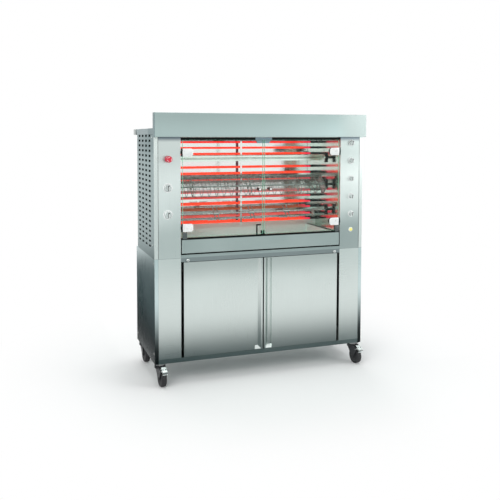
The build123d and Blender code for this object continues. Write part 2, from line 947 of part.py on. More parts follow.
with BuildPart() as hood_fascia:
    hood_front = front - hood_projection
    hood_rear = hood_front + hood_depth
    hood_inner = hood_half - hood_sheet
    slab(across(hood_half), (hood_front, hood_rear), (hood_bottom_z, hood_top_z))
    fillet(hood_fascia.edges().group_by(Axis.Y)[0], radius=bend_radius)
    slab(
        across(hood_inner),
        (hood_front + hood_sheet, hood_rear - hood_sheet),
        (hood_bottom_z + hood_sheet, hood_top_z - hood_sheet),
        mode=Mode.SUBTRACT,
    )
    slab(
        across(hood_inner),
        (front, hood_rear),
        (hood_bottom_z, oven_top_z),
        mode=Mode.SUBTRACT,
    )
    slab(across(hood_half), (front, saddle_back), (oven_top_z - sheet, oven_top_z))
    for side in (-1, 1):
        slab(
            (side * hood_inner, side * hood_half),
            (hood_rear, saddle_back),
            (oven_top_z - cover_flange, oven_top_z),
        )
save(hood_fascia.part, "hood_fascia")

with BuildPart() as rear_spacer:
    spacer_front = oven_back_y + sheet + spacer_gap
    spacer_back = spacer_front + spacer_depth
    spacer_z = (oven_top_z - spacer_height, oven_top_z)
    slab(across(half), (spacer_front, spacer_back), spacer_z)
    slab(
        across(half - spacer_sheet),
        (spacer_front + spacer_sheet, spacer_back - spacer_sheet),
        (spacer_z[0], spacer_z[1] - spacer_sheet),
        mode=Mode.SUBTRACT,
    )
    for side in (-1, 1):
        bracket_end = spacer_bracket_x + spacer_bracket_width
        slab(
            (side * spacer_bracket_x, side * bracket_end),
            (oven_back_y + sheet, spacer_front),
            (spacer_z[0], spacer_z[0] + spacer_bracket_thickness),
        )
        slab(
            (side * spacer_bracket_x, side * (spacer_bracket_x + spacer_bracket_thickness)),
            (oven_back_y + sheet, spacer_front),
            spacer_z,
        )
save(rear_spacer.part, "rear_spacer")

with BuildPart() as panel_screws:
    for side in (-1, 1):
        places = [(y, cabinet_z + z) for y, z in cabinet_screw_places]
        places += [(y, oven_z + z) for y, z in oven_screw_places]
        for y, z in places:
            with BuildSketch(facing_right(side * half, front + y, z)):
                Circle(screw_radius)
            extrude(amount=side * screw_head, taper=screw_taper)
        seam_x = side * (half - front_fold - panel_seam / 2)
        with BuildSketch(facing_front(seam_x, front, oven_z + seam_screw_height)):
            Circle(seam_screw_radius)
        extrude(amount=screw_head / 2)
        stud_z = cabinet_top_z - stud_drop
        with BuildSketch(facing_front(side * stud_x, front, stud_z)):
            Circle(stud_radius)
        extrude(amount=stud_length)
        stud_face = panel_screws.faces().sort_by(Axis.Y)[0]
        fillet(stud_face.edges(), radius=stud_radius / 2)
save(panel_screws.part, "panel_screws")

# Roasting chamber
floor_z = oven_z + chamber_floor
ceiling_z = oven_z + chamber_ceiling
spit_levels = [oven_z + height for height in spit_heights]
with BuildPart() as chamber_liner:
    wall = chamber_half + sheet
    liner_y = (liner_front, reflector_y)
    slab(across(wall), liner_y, (ceiling_z, ceiling_z + sheet))
    for side in (-1, 1):
        slab((side * chamber_half, side * wall), liner_y, (floor_z, ceiling_z))
        slab(
            (side * (opening_half), side * wall),
            (liner_front, liner_front + sheet),
            (floor_z, ceiling_z),
        )
        slab((side * ledge_inner, side * wall), liner_y, (floor_z, floor_z + sheet))
    for level in spit_levels:
        with BuildSketch(facing_right(chamber_half, spit_axis_y, level)):
            Circle(coupling_shaft_radius + running_fit)
        extrude(amount=sheet, mode=Mode.SUBTRACT)
save(chamber_liner.part, "chamber_liner")

with BuildPart() as chamber_reflector:
    slab(
        across(chamber_half + sheet),
        (reflector_y, reflector_y + sheet),
        (base_top_z, ceiling_z + sheet),
    )
    strip_rear = front + element_y - element_radius - lining_gap
    slab(
        across(support_width / 2),
        (strip_rear - support_thickness, strip_rear),
        (floor_z + support_foot_gap, ceiling_z),
    )
    for height in support_standoff_heights:
        with BuildSketch(facing_front(0, reflector_y, oven_z + height)):
            Circle(support_standoff_radius)
        extrude(amount=reflector_y - strip_rear)
save(chamber_reflector.part, "chamber_reflector")

with BuildPart() as heating_elements:
    for height in element_heights:
        with BuildSketch(facing_right(-chamber_half, front + element_y, oven_z + height)):
            Circle(element_radius)
        extrude(amount=2 * chamber_half)
save(heating_elements.part, "heating_elements")

with BuildPart() as drip_tray:
    face_z = (oven_z + tray_front_bottom, oven_z + tray_front_top)
    slab(across(tray_front_half), (front, front + sheet), face_z)
    slab(
        across(tray_front_half),
        (front, front + tray_front_return),
        (face_z[1] - sheet, face_z[1]),
    )
    slab(
        across(tray_front_half),
        (front, front + tray_front_return),
        (face_z[0], face_z[0] + sheet),
    )
    fillet(drip_tray.edges().filter_by(Axis.X).group_by(Axis.Y)[0], radius=bend_radius)
    pan_z = (oven_z + tray_bottom, oven_z + tray_rim)
    slab(across(tray_half), (front + sheet, front + tray_rear), pan_z)
    slab(
        across(tray_half - sheet),
        (front + 2 * sheet, front + tray_rear - sheet),
        (pan_z[0] + sheet, oven_z + tray_front_top - sheet),
        mode=Mode.SUBTRACT,
    )
save(drip_tray.part, "drip_tray")


# Glass doors, their fittings and hinges
def plate_outline(side):
    """Hinge plate with a straight outer edge and cut corners at its inner end."""
    with BuildSketch(mode=Mode.PRIVATE) as outline:
        middle = side * (plate_outer + plate_inner) / 2
        with Locations((middle, 0)):
            Rectangle(plate_outer - plate_inner, plate_height)
        inner_corners = outline.vertices().sort_by(Axis.X)
        chamfer(inner_corners[:2] if side > 0 else inner_corners[-2:], length=plate_corner)
    return outline.sketch


def glass_door(side):
    with BuildPart() as pane:
        slab(
            (side * glass_inner, side * glass_outer),
            (glass_front, glass_rear),
            (oven_z + glass_bottom, oven_z + glass_top),
        )
        chamfer(pane.edges(), length=glass_edge)
    return pane.part


def glass_fittings(side):
    hinge_x = side * glass_hinge_x
    plate_front = glass_front - plate_thickness
    with BuildPart() as fittings:
        for height in plate_heights:
            z = oven_z + height
            with BuildSketch(facing_front(0, glass_front, z)):
                add(plate_outline(side))
            extrude(amount=plate_thickness)
            with BuildSketch(facing_front(0, glass_rear + plate_thickness / 2, z)):
                add(plate_outline(side))
            extrude(amount=plate_thickness / 2)
            with BuildSketch(facing_front(side * pad_x, glass_rear + pad_thickness, z)):
                Circle(pad_radius)
            extrude(amount=pad_thickness)
            with BuildSketch(facing_front(side * plate_slot_x, plate_front, z)):
                SlotOverall(plate_slot_length, plate_slot_width, rotation=90)
            extrude(amount=-plate_slot_depth, mode=Mode.SUBTRACT)
            knuckle_start = knuckle_half + knuckle_gap
            knuckle_length = plate_height / 2 - knuckle_start
            for low in (z - plate_height / 2, z + knuckle_start):
                with BuildSketch(Plane.XY.offset(low)):
                    with Locations((hinge_x, glass_hinge_y)):
                        Circle(knuckle_radius)
                    lug_x = (side * plate_outer + hinge_x) / 2
                    with Locations((lug_x, glass_hinge_y)):
                        Rectangle(glass_hinge_x - plate_outer, knuckle_radius)
                    with Locations((hinge_x, glass_hinge_y)):
                        Circle(glass_pin_radius + running_fit, mode=Mode.SUBTRACT)
                extrude(amount=knuckle_length)
        clip_x = (side * clip_inner, side * plate_outer)
        clip_bottom = oven_z + tray_front_top + lining_gap
        clip_z = (clip_bottom, clip_bottom + clip_length)
        slab(clip_x, (plate_front, glass_front), clip_z)
        slab(
            clip_x,
            (glass_rear, glass_rear + clip_wall),
            (oven_z + sill_top + lining_gap, clip_z[1]),
        )
        slab(
            clip_x,
            (glass_front, glass_rear),
            (oven_z + sill_top + lining_gap, oven_z + glass_bottom),
        )
        pull = facing_front(side * pull_x, glass_front, oven_z + pull_height)
        with BuildSketch(pull):
            Circle(pull_neck_radius)
        extrude(amount=pull_neck)
        with BuildSketch(pull.offset(pull_neck)):
            Circle(pull_radius)
        extrude(amount=pull_length - pull_neck)
        pull_face = fittings.faces().sort_by(Axis.Y)[0]
        fillet(pull_face.edges(), radius=pull_edge)
        with BuildSketch(pull.offset(-glass_thickness)):
            Circle(pull_neck_radius)
        extrude(amount=-pull_washer)
    return fittings.part


for side, hand in ((-1, "left"), (1, "right")):
    save(glass_door(side), f"glass_door_{hand}")
    save(glass_fittings(side), f"glass_fittings_{hand}")

with BuildPart() as door_hardware:
    for side in (-1, 1):
        for height in plate_heights:
            z = oven_z + height
            hinge_x = side * glass_hinge_x
            with BuildSketch(Plane.XY.offset(z - knuckle_half)):
                with Locations((hinge_x, glass_hinge_y)):
                    Circle(knuckle_radius)
            extrude(amount=2 * knuckle_half)
            with BuildSketch(Plane.XY.offset(z - plate_height / 2)):
                with Locations((hinge_x, glass_hinge_y)):
                    Circle(glass_pin_radius)
            extrude(amount=plate_height)
            slab(
                (side * opening_half, side * (opening_half - hinge_leaf)),
                (front - hinge_leaf_front, front + hinge_leaf_rear),
                (z - knuckle_half, z + knuckle_half),
            )
    bar_y = (front + header_front, header_rear)
    slab(across(opening_half), bar_y, (oven_z + header_bottom, oven_z + header_top))
    with BuildSketch(facing_front(0, front + top_catch_rear, 0)):
        catch_top = oven_z + header_bottom
        with BuildLine():
            Polyline(
                (-top_catch_half, catch_top),
                (top_catch_half, catch_top),
                (top_catch_half - top_catch_taper, catch_top - top_catch_drop),
                (top_catch_taper - top_catch_half, catch_top - top_catch_drop),
                close=True,
            )
        make_face()
    extrude(amount=top_catch_rear - top_catch_front)
    sill_y = (glass_rear + clip_wall + lining_gap, header_rear)
    slab(across(opening_half), bar_y, (oven_z + sill_bottom, oven_z + sill_top))
    slab(
        across(low_catch_half),
        sill_y,
        (oven_z + sill_bottom, oven_z + sill_top + low_catch_rise),
    )
    hook_z = (oven_z + sill_bottom, oven_z + hook_rise + sill_bottom)
    slab((hook_x - hook_half, hook_x - hook_half + hook_bar), sill_y, hook_z)
    slab(
        (hook_x - hook_half, hook_x + hook_half),
        sill_y,
        (hook_z[1] - hook_bar, hook_z[1]),
    )
save(door_hardware.part, "door_hardware")


# Controls
def control_knob(x, height, radius):
    base = facing_front(x, front - ring_thickness - lining_gap, oven_z + height)
    with BuildPart() as knob:
        with BuildSketch(base):
            Circle(radius)
        extrude(amount=knob_base)
        rim = knob.faces().sort_by(Axis.Y)[0]
        fillet(rim.edges(), radius=knob_edge_radius)
        with BuildSketch(base.offset(knob_base - knob_edge_radius)):
            SlotOverall(2 * radius - knob_edge_radius, knob_grip_width, rotation=90)
        extrude(amount=knob_grip_height + knob_edge_radius)
        grip = knob.faces().sort_by(Axis.Y)[0]
        fillet(grip.edges(), radius=knob_edge_radius)
        with BuildSketch(base):
            Circle(knob_shaft_radius)
        extrude(amount=-(ring_thickness + lining_gap + sheet + knob_shaft_reach))
    return knob.part


left_knob_names = ["knob_left_upper", "knob_left_lower"]
for name, height in zip(left_knob_names, left_knob_heights):
    save(control_knob(left_control_x, height, left_knob_radius), name)
for number, height in enumerate(right_knob_heights, start=1):
    save(control_knob(right_control_x, height, right_knob_radius), f"knob_right_{number}")

with BuildPart() as control_bezels:
    rings = [(left_control_x, height, left_ring_radius) for height in left_knob_heights]
    rings += [(right_control_x, height, right_ring_radius) for height in right_knob_heights]
    for x, height, radius in rings:
        with BuildSketch(facing_front(x, front, oven_z + height)):
            Circle(radius)
            Circle(ring_hole_radius, mode=Mode.SUBTRACT)
        extrude(amount=ring_thickness)
    with BuildSketch(facing_front(left_control_x, front, oven_z + estop_height)):
        Circle(estop_collar_radius)
        Circle(estop_stem_radius + running_fit, mode=Mode.SUBTRACT)
    extrude(amount=estop_collar)
    with BuildSketch(facing_front(right_control_x, front, oven_z + lamp_height)):
        Circle(lamp_bezel_radius)
        Circle(lamp_radius + running_fit, mode=Mode.SUBTRACT)
    extrude(amount=lamp_bezel)
save(control_bezels.part, "control_bezels")

with BuildPart() as control_switches:
    blocks = [
        (left_control_x, height, left_switch_width, knob_shaft_radius, switch_bore_depth)
        for height in left_knob_heights
    ]
    blocks += [
        (right_control_x, height, right_switch_width, knob_shaft_radius, switch_bore_depth)
        for height in right_knob_heights
    ]
    estop_bore = estop_reach + estop_travel
    blocks.append(
        (left_control_x, estop_height, left_switch_width, estop_stem_radius, estop_bore)
    )
    blocks.append(
        (right_control_x, lamp_height, right_switch_width, lamp_radius, switch_bore_depth)
    )
    for x, height, width, radius, bore_depth in blocks:
        rear_of_panel = facing_front(x, front + sheet, oven_z + height)
        with BuildSketch(rear_of_panel):
            Rectangle(width, switch_height)
        extrude(amount=-switch_depth)
        with BuildSketch(rear_of_panel):
            Circle(radius + running_fit)
        extrude(amount=-bore_depth, mode=Mode.SUBTRACT)
save(control_switches.part, "control_switches")

with BuildPart() as estop_button:
    estop_z = oven_z + estop_height
    cap = facing_front(left_control_x, front - estop_cap_rear, estop_z)
    with BuildSketch(cap):
        Circle(estop_cap_radius)
    extrude(amount=estop_protrusion - estop_cap_rear)
    cap_face = estop_button.faces().sort_by(Axis.Y)[0]
    fillet(cap_face.edges(), radius=estop_dome)
    with BuildSketch(cap):
        Circle(estop_stem_radius)
    extrude(amount=-(estop_cap_rear + estop_reach))
save(estop_button.part, "estop_button")

with BuildPart() as indicator_lamp:
    lens = facing_front(right_control_x, front - lamp_bezel, oven_z + lamp_height)
    with BuildSketch(lens):
        Circle(lamp_lens_radius)
    extrude(amount=lamp_lens - lamp_bezel)
    lens_face = indicator_lamp.faces().sort_by(Axis.Y)[0]
    fillet(lens_face.edges(), radius=(lamp_lens - lamp_bezel) / 2)
    with BuildSketch(lens):
        Circle(lamp_radius)
    extrude(amount=-(lamp_bezel + lamp_reach))
save(indicator_lamp.part, "indicator_lamp")


# Spit drive
def drive_coupling(level):
    """Drive head on the right wall: a square socket, a tapered arm and its shaft."""
    with BuildPart() as coupling:
        with BuildSketch(facing_right(coupling_face, spit_axis_y, level)):
            Circle(coupling_radius)
        extrude(amount=coupling_rear - coupling_face)
        with BuildSketch(facing_front(coupling_face, spit_axis_y, level)):
            with BuildLine():
                Polyline(
                    (-coupling_arm_lip, coupling_arm_rise),
                    (coupling_length, coupling_arm_rise),
                    (coupling_length, -coupling_arm_drop),
                    (-coupling_foot_lip, -coupling_arm_drop),
                    (-coupling_foot_lip, -coupling_foot_top),
                    (0, -coupling_arm_neck),
                    (0, coupling_arm_neck),
                    close=True,
                )
            make_face()
        extrude(amount=coupling_arm_thickness / 2, both=True)
        with BuildSketch(facing_right(coupling_rear, spit_axis_y, level)):
            Circle(coupling_shaft_radius)
        extrude(amount=chamber_half + sheet - coupling_rear + motor_shaft_reach)
        with BuildSketch(facing_right(coupling_face, spit_axis_y, level)):
            socket = spit_square + 2 * socket_clearance
            Rectangle(socket, socket)
        extrude(amount=coupling_socket_depth, mode=Mode.SUBTRACT)
    return coupling.part


level_names = ["upper", "middle", "lower"]
for name, level in zip(level_names, spit_levels):
    save(drive_coupling(level), f"drive_coupling_{name}")

with BuildPart() as gear_motors:
    for level in spit_levels:
        motor_face = facing_right(chamber_half + sheet, spit_axis_y, level)
        with BuildSketch(motor_face):
            Rectangle(motor_size, motor_size)
        extrude(amount=motor_length)
        with BuildSketch(motor_face):
            Circle(coupling_shaft_radius + running_fit)
        extrude(amount=motor_bore_depth, mode=Mode.SUBTRACT)
save(gear_motors.part, "gear_motors")

with BuildPart() as spit_bearings:
    for level in spit_levels:
        bearing_face = facing_right(-chamber_half, spit_axis_y, level)
        with BuildSketch(bearing_face):
            with Locations((0, (bearing_rise - bearing_drop) / 2)):
                Rectangle(bearing_width, bearing_rise + bearing_drop)
            Circle(spit_radius + running_fit, mode=Mode.SUBTRACT)
            with Locations((0, bearing_rise)):
                Rectangle(2 * (spit_radius + running_fit), 2 * bearing_rise, mode=Mode.SUBTRACT)
        extrude(amount=bearing_length)
save(spit_bearings.part, "spit_bearings")


def spit_shaft(level):
    """Round bar from the left bearing, with a square end in the drive head's socket."""
    with BuildSketch(facing_right(spit_left_end, spit_axis_y, level)) as round_bar:
        Circle(spit_radius)
    extrude(round_bar.sketch, amount=coupling_face - spit_left_end)
    square_start = coupling_face - coupling_socket_depth
    with BuildSketch(facing_right(square_start, spit_axis_y, level)) as square_end:
        Rectangle(spit_square, spit_square)
    extrude(square_end.sketch, amount=2 * coupling_socket_depth - socket_clearance)


with BuildPart() as spit_blade:
    spit_shaft(spit_levels[0])
    slab(
        (spit_left_end + bearing_length + blade_margin, coupling_face - blade_margin),
        (spit_axis_y - blade_thickness / 2, spit_axis_y + blade_thickness / 2),
        (spit_levels[0] - blade_height / 2, spit_levels[0] + blade_height / 2),
    )
save(spit_blade.part, "spit_blade")

tilt = radians(basket_tilt)
width_dir = Vector(0, cos(tilt), sin(tilt))
depth_dir = Vector(0, -sin(tilt), cos(tilt))
basket_centre = Vector((basket_start + basket_end) / 2, spit_axis_y, spit_levels[1])
lid_inner_face = basket_depth / 2 - basket_wire
lid_hinge = (basket_wire / 2 - basket_width / 2, lid_inner_face + basket_wire / 2)


def basket_plane(x):
    """A plane square to the basket spit, turned by the basket's tilt."""
    return Plane(
        origin=(x, spit_axis_y, spit_levels[1]),
        x_dir=width_dir,
        z_dir=(1, 0, 0),
    )


with BuildPart() as spit_basket:
    spit_shaft(spit_levels[1])
    bar_reach = closing_bar_gap + closing_bar_height
    for plate_x in (basket_start - basket_end_plate, basket_end):
        with BuildSketch(basket_plane(plate_x)):
            Rectangle(basket_width, basket_depth)
            with Locations((basket_width / 2, 0)):
                Rectangle(2 * bar_reach, 4 * closing_bar_thickness)
            with Locations(lid_hinge):
                Circle(basket_hinge_ear)
                Circle(basket_wire / 2 + running_fit, mode=Mode.SUBTRACT)
        extrude(amount=basket_end_plate)
    inner_width = basket_width - 2 * basket_wire - 2 * basket_clearance
    inner_depth = basket_depth - 2 * basket_wire - 2 * basket_clearance
    for frame_x in basket_frame_places:
        with BuildSketch(basket_plane(frame_x)):
            Rectangle(inner_width, inner_depth)
            hole_width = inner_width - 2 * basket_frame_rail
            hole_depth = inner_depth - 2 * basket_frame_rail
            Rectangle(hole_width, hole_depth, mode=Mode.SUBTRACT)
            Rectangle(basket_frame_rail, inner_depth)
        extrude(amount=basket_frame)
    with BuildSketch(basket_plane(basket_start)):
        with Locations((basket_width / 2 + bar_reach - closing_bar_height / 2, 0)):
            Rectangle(closing_bar_height, closing_bar_thickness)
    extrude(amount=basket_length)
save(spit_basket.part, "spit_basket")


def grille(plane, length, width, rings, bars):
    """A flat wire grille: the outline less a grid of windows."""
    window_length = (length - (rings + 1) * basket_wire) / rings
    window_width = (width - (bars + 1) * basket_wire) / bars
    with BuildSketch(plane) as holed_face:
        Rectangle(length, width)
        with GridLocations(window_length + basket_wire, window_width + basket_wire, rings, bars):
            Rectangle(window_length, window_width, mode=Mode.SUBTRACT)
    extrude(holed_face.sketch, amount=basket_wire)


grille_length = basket_length - 2 * basket_clearance


def wide_face(hand):
    """The inner plane of a wide side of the basket; hand is 1 at the lid."""
    return Plane(
        origin=basket_centre + depth_dir * (hand * lid_inner_face),
        x_dir=(1, 0, 0),
        z_dir=depth_dir * hand,
    )


with BuildPart() as basket_grilles:
    grille(wide_face(-1), grille_length, basket_width, basket_rings, basket_bars)
    side_width = 2 * (lid_inner_face - basket_lid_gap)
    for hand in (-1, 1):
        narrow = Plane(
            origin=basket_centre + width_dir * (hand * (basket_width / 2 - basket_wire)),
            x_dir=(1, 0, 0),
            z_dir=width_dir * hand,
        )
        grille(narrow, grille_length, side_width, basket_rings, basket_side_bars)
save(basket_grilles.part, "basket_grilles")

with BuildPart() as basket_lid:
    grille(wide_face(1), grille_length, basket_width, basket_rings, basket_bars)
    rod_overhang = basket_end_plate + basket_hinge_end
    with BuildSketch(basket_plane(basket_start - rod_overhang)):
        with Locations(lid_hinge):
            Circle(basket_wire / 2)
    extrude(amount=basket_length + 2 * rod_overhang)
save(basket_lid.part, "basket_lid")

with BuildPart() as spit_fork:
    level = spit_levels[2]
    spit_shaft(level)
    rod_z = level - second_rod_drop
    with BuildSketch(facing_right(second_rod_start, spit_axis_y, rod_z)):
        Circle(second_rod_radius)
    extrude(amount=second_rod_end - second_rod_start)
    for clamp_x in (second_rod_start, second_rod_end - rod_clamp_width):
        slab(
            (clamp_x, clamp_x + rod_clamp_width),
            (spit_axis_y - spit_radius, spit_axis_y + spit_radius),
            (rod_z - 2 * second_rod_radius, level + 2 * spit_radius),
        )
    for fork_x in fork_places:
        with BuildSketch(facing_right(fork_x - fork_hub_length / 2, spit_axis_y, level)):
            Circle(fork_hub_radius)
        extrude(amount=fork_hub_length)
        for hand in (-1, 1):
            bar_x = fork_x + hand * fork_pair_gap / 2 - fork_bar_thickness / 2
            bar_plane = Plane(
                origin=(bar_x, spit_axis_y, level),
                x_dir=width_dir,
                z_dir=(1, 0, 0),
            )
            with BuildSketch(bar_plane):
                Rectangle(fork_span, fork_bar)
            extrude(amount=fork_bar_thickness)
            with BuildSketch(bar_plane.offset(fork_bar_thickness / 2)):
                tine_place = (fork_span - fork_bar) / 2
                with Locations((-tine_place, 0), (tine_place, 0)):
                    Circle(fork_tine_radius)
            extrude(amount=hand * fork_tine_length)
save(spit_fork.part, "spit_fork")
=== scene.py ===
import json
import math

import bpy
from mathutils import Matrix, Vector


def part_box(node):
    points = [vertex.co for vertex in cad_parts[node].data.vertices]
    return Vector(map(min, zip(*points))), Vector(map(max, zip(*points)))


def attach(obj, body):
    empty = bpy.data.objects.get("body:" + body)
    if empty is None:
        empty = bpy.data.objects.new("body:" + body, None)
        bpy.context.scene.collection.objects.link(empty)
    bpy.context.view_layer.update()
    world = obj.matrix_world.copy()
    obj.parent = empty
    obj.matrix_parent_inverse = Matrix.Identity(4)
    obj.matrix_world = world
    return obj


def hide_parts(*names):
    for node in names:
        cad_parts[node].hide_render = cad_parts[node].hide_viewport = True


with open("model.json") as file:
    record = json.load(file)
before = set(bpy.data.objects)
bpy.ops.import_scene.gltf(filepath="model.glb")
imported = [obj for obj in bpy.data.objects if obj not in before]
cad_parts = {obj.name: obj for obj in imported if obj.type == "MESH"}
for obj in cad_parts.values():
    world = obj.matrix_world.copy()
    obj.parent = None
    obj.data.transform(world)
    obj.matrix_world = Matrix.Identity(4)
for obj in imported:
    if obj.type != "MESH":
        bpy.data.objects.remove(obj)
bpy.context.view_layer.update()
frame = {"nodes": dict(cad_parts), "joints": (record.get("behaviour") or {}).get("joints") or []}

# Places that the pieces share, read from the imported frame, in metres
nodes = frame["nodes"]
joints = {joint["name"]: joint for joint in frame["joints"]}
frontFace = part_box("cabinet_front_panels")[0][1]
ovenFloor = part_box("oven_base")[0][2]
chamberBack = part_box("chamber_liner")[1][1]
glassLow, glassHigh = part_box("glass_door_right")
elementsLow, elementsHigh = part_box("heating_elements")
leftKnobs = ["knob_left_upper", "knob_left_lower"]
rightKnobs = [f"knob_right_{number}" for number in range(1, 6)]


def pivotOf(jointName):
    return Vector(joints[jointName]["pos_m"])


def middleOf(nodeName, axis):
    low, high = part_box(nodeName)
    return (low[axis] + high[axis]) / 2


def moveBy(x, y, z):
    return Matrix.Translation((x, y, z))


def spinBy(degrees, axis):
    return Matrix.Rotation(math.radians(degrees), 4, axis)


def turnFrom(start, stop):
    return Vector(start).rotation_difference(Vector(stop)).to_matrix().to_4x4()


toFront = spinBy(90, "X")


# Modelling helpers
def setMode(mode):
    bpy.ops.object.mode_set(mode=mode)


def clearSelection():
    if bpy.context.mode != "OBJECT":
        setMode("OBJECT")
    bpy.ops.object.select_all(action="DESELECT")


def makeActive(piece):
    clearSelection()
    piece.select_set(True)
    bpy.context.view_layer.objects.active = piece


def applyPlace():
    bpy.ops.object.transform_apply(location=True, rotation=True, scale=True)


def applyModifier(piece, kind, **settings):
    makeActive(piece)
    modifier = piece.modifiers.new(kind.title(), kind)
    for key, value in settings.items():
        setattr(modifier, key, value)
    bpy.ops.object.modifier_apply(modifier=modifier.name)


def softenEdges(piece, width, segments=2, angle=40):
    applyModifier(piece, "BEVEL", width=width, segments=segments,
                  limit_method="ANGLE", angle_limit=math.radians(angle))


def selectFaces(piece, wanted):
    # leaves the piece in edit mode with only the wanted faces selected
    makeActive(piece)
    bpy.context.tool_settings.mesh_select_mode = (False, False, True)
    for part in (*piece.data.vertices, *piece.data.edges):
        part.select = False
    for face in piece.data.polygons:
        face.select = wanted(face)
    setMode("EDIT")


def stepFaces(piece, wanted, steps):
    # each step is how far the face shrinks and how far it then rises
    selectFaces(piece, wanted)
    for shrink, rise in steps:
        bpy.ops.mesh.inset(thickness=max(shrink, 0.00002), depth=rise)
    setMode("OBJECT")


def block(size, centre, soft=0.0, segments=2):
    clearSelection()
    bpy.ops.mesh.primitive_cube_add(size=1, location=centre)
    piece = bpy.context.object
    piece.scale = size
    applyPlace()
    if soft:
        softenEdges(piece, soft, segments)
    return piece


def turned(radius, length, lowSteps=(), highSteps=(), sides=48):
    # a turned shape round Z from 0 to length, with its ends stepped like a lathe job
    clearSelection()
    bpy.ops.mesh.primitive_cylinder_add(vertices=sides, radius=radius, depth=length,
                                        location=(0, 0, length / 2))
    applyPlace()
    piece = bpy.context.object
    if lowSteps:
        stepFaces(piece, lambda face: face.normal.z < -0.9, lowSteps)
    if highSteps:
        stepFaces(piece, lambda face: face.normal.z > 0.9, highSteps)
    return piece


def copyOf(piece, shift=(0, 0, 0), flip=False):
    twin = piece.copy()
    twin.data = piece.data.copy()
    bpy.context.collection.objects.link(twin)
    return placed(twin, moveBy(*shift) @ Matrix.Scale(-1 if flip else 1, 4, (1, 0, 0)))


def bentWire(radius, path, bend, sides=8):
    # a round wire along a flat path in XY: a ring pulled along the runs and spun round the bends
    points = [Vector((x, y, 0)) for x, y in path]
    heading = (points[1] - points[0]).normalized()
    clearSelection()
    turn = Vector((0, 0, 1)).rotation_difference(heading)
    bpy.ops.mesh.primitive_circle_add(vertices=sides, radius=radius, fill_type="NGON",
                                      location=points[0], rotation=turn.to_euler())
    applyPlace()
    wire = bpy.context.object
    setMode("EDIT")
    bpy.ops.mesh.select_all(action="SELECT")
    here = points[0]
    for corner, following in zip(points[1:], points[2:]):
        leaving = (following - corner).normalized()
        angle = heading.angle(leaving)
        reach = bend * math.tan(angle / 2)
        stop = corner - heading * reach
        bpy.ops.mesh.extrude_region_move(TRANSFORM_OT_translate={"value": stop - here})
        hand = 1 if heading.cross(leaving).z > 0 else -1
        centre = stop + Vector((-heading.y, heading.x, 0)) * hand * bend
        bpy.ops.mesh.spin(steps=4, angle=angle * hand, center=centre, axis=(0, 0, -1),
                          dupli=False)
        here = corner + leaving * reach
        heading = leaving
    bpy.ops.mesh.extrude_region_move(TRANSFORM_OT_translate={"value": points[-1] - here})
    bpy.ops.mesh.select_all(action="SELECT")
    bpy.ops.mesh.remove_doubles(threshold=0.00001)
    bpy.ops.mesh.normals_make_consistent(inside=False)
    setMode("OBJECT")
    return wire


def cut(piece, cutters):
    # takes the cutters out of the piece, one after another
    for cutter in cutters:
        applyModifier(piece, "BOOLEAN", operation="DIFFERENCE", object=cutter, solver="EXACT")
        bpy.data.objects.remove(cutter)
    return piece


def placed(piece, matrix):
    # moves a mesh by a matrix, leaving its object at the origin
    piece.data.transform(matrix)
    if matrix.determinant() < 0:
        piece.data.flip_normals()
    piece.data.update()
    return piece


def shifted(piece, x, y, z):
    return placed(piece, moveBy(x, y, z))


def lined(piece, count, step):
    # a straight row of copies of one mesh
    applyModifier(piece, "ARRAY", count=count, use_relative_offset=False,
                  use_constant_offset=True, constant_offset_displace=step)
    return piece


def joined(pieces):
    clearSelection()
    for piece in pieces:
        piece.select_set(True)
    bpy.context.view_layer.objects.active = pieces[0]
    if len(pieces) > 1:
        bpy.ops.object.join()
    return bpy.context.object


def discard(models):
    for model in models:
        bpy.data.objects.remove(model)


def finishPiece(piece, name, finishName, body="root", replaced=None):
    # names and dresses a mesh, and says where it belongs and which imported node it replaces
    piece.name = name
    piece.data.name = name
    piece.data.materials.clear()
    piece.data.materials.append(materials[finishName])
    makeActive(piece)
    bpy.ops.object.shade_smooth_by_angle(angle=math.radians(35))
    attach(piece, body)
    if replaced:
        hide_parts(replaced)


# Directions along which a finish can change
upward, downward = (0, 0, 1), (0, 0, -1)
toRight, toLeft = (1, 0, 0), (-1, 0, 0)
toViewer, toRear = (0, -1, 0), (0, 1, 0)


def opaque(rgb):
    return (*rgb, 1.0) if len(rgb) == 3 else rgb


def shaded(rgb, factor):
    return tuple(channel * factor for channel in rgb)


def feed(tree, node, given):
    # gives a node its inputs, each a plain value or another node's output
    for key, value in given.items():
        socket = node.inputs[key]
        if isinstance(value, bpy.types.NodeSocket):
            tree.links.new(value, socket)
        else:
            socket.default_value = opaque(value) if socket.type == "RGBA" else value


def addNode(tree, kind, given=None, **settings):
    node = tree.nodes.new("ShaderNode" + kind)
    for key, value in settings.items():
        setattr(node, key, value)
    feed(tree, node, given or {})
    return node


def shownRays(tree):
    # 1 for the rays that show a background: straight, in a reflection or through glass
    paths = addNode(tree, "LightPath").outputs
    shown = paths["Is Camera Ray"]
    for kind in ("Is Glossy Ray", "Is Transmission Ray"):
        shown = addNode(tree, "Math", {0: shown, 1: paths[kind]}, operation="MAXIMUM").outputs[0]
    return shown


# Shader groups that several finishes share
def openGroup(name, inputs):
    group = bpy.data.node_groups.new(name, "ShaderNodeTree")
    for label, value in inputs.items():
        kind = "Float" if isinstance(value, float) else {3: "Vector", 4: "Color"}[len(value)]
        socket = group.interface.new_socket(label, in_out="INPUT", socket_type="NodeSocket" + kind)
        socket.default_value = value
    return group, group.nodes.new("NodeGroupInput").outputs


def closeGroup(group, results):
    for label, socket in results.items():
        kind = "NodeSocketColor" if socket.type == "RGBA" else "NodeSocketFloat"
        group.interface.new_socket(label, in_out="OUTPUT", socket_type=kind)
    feed(group, group.nodes.new("NodeGroupOutput"), results)
    return group


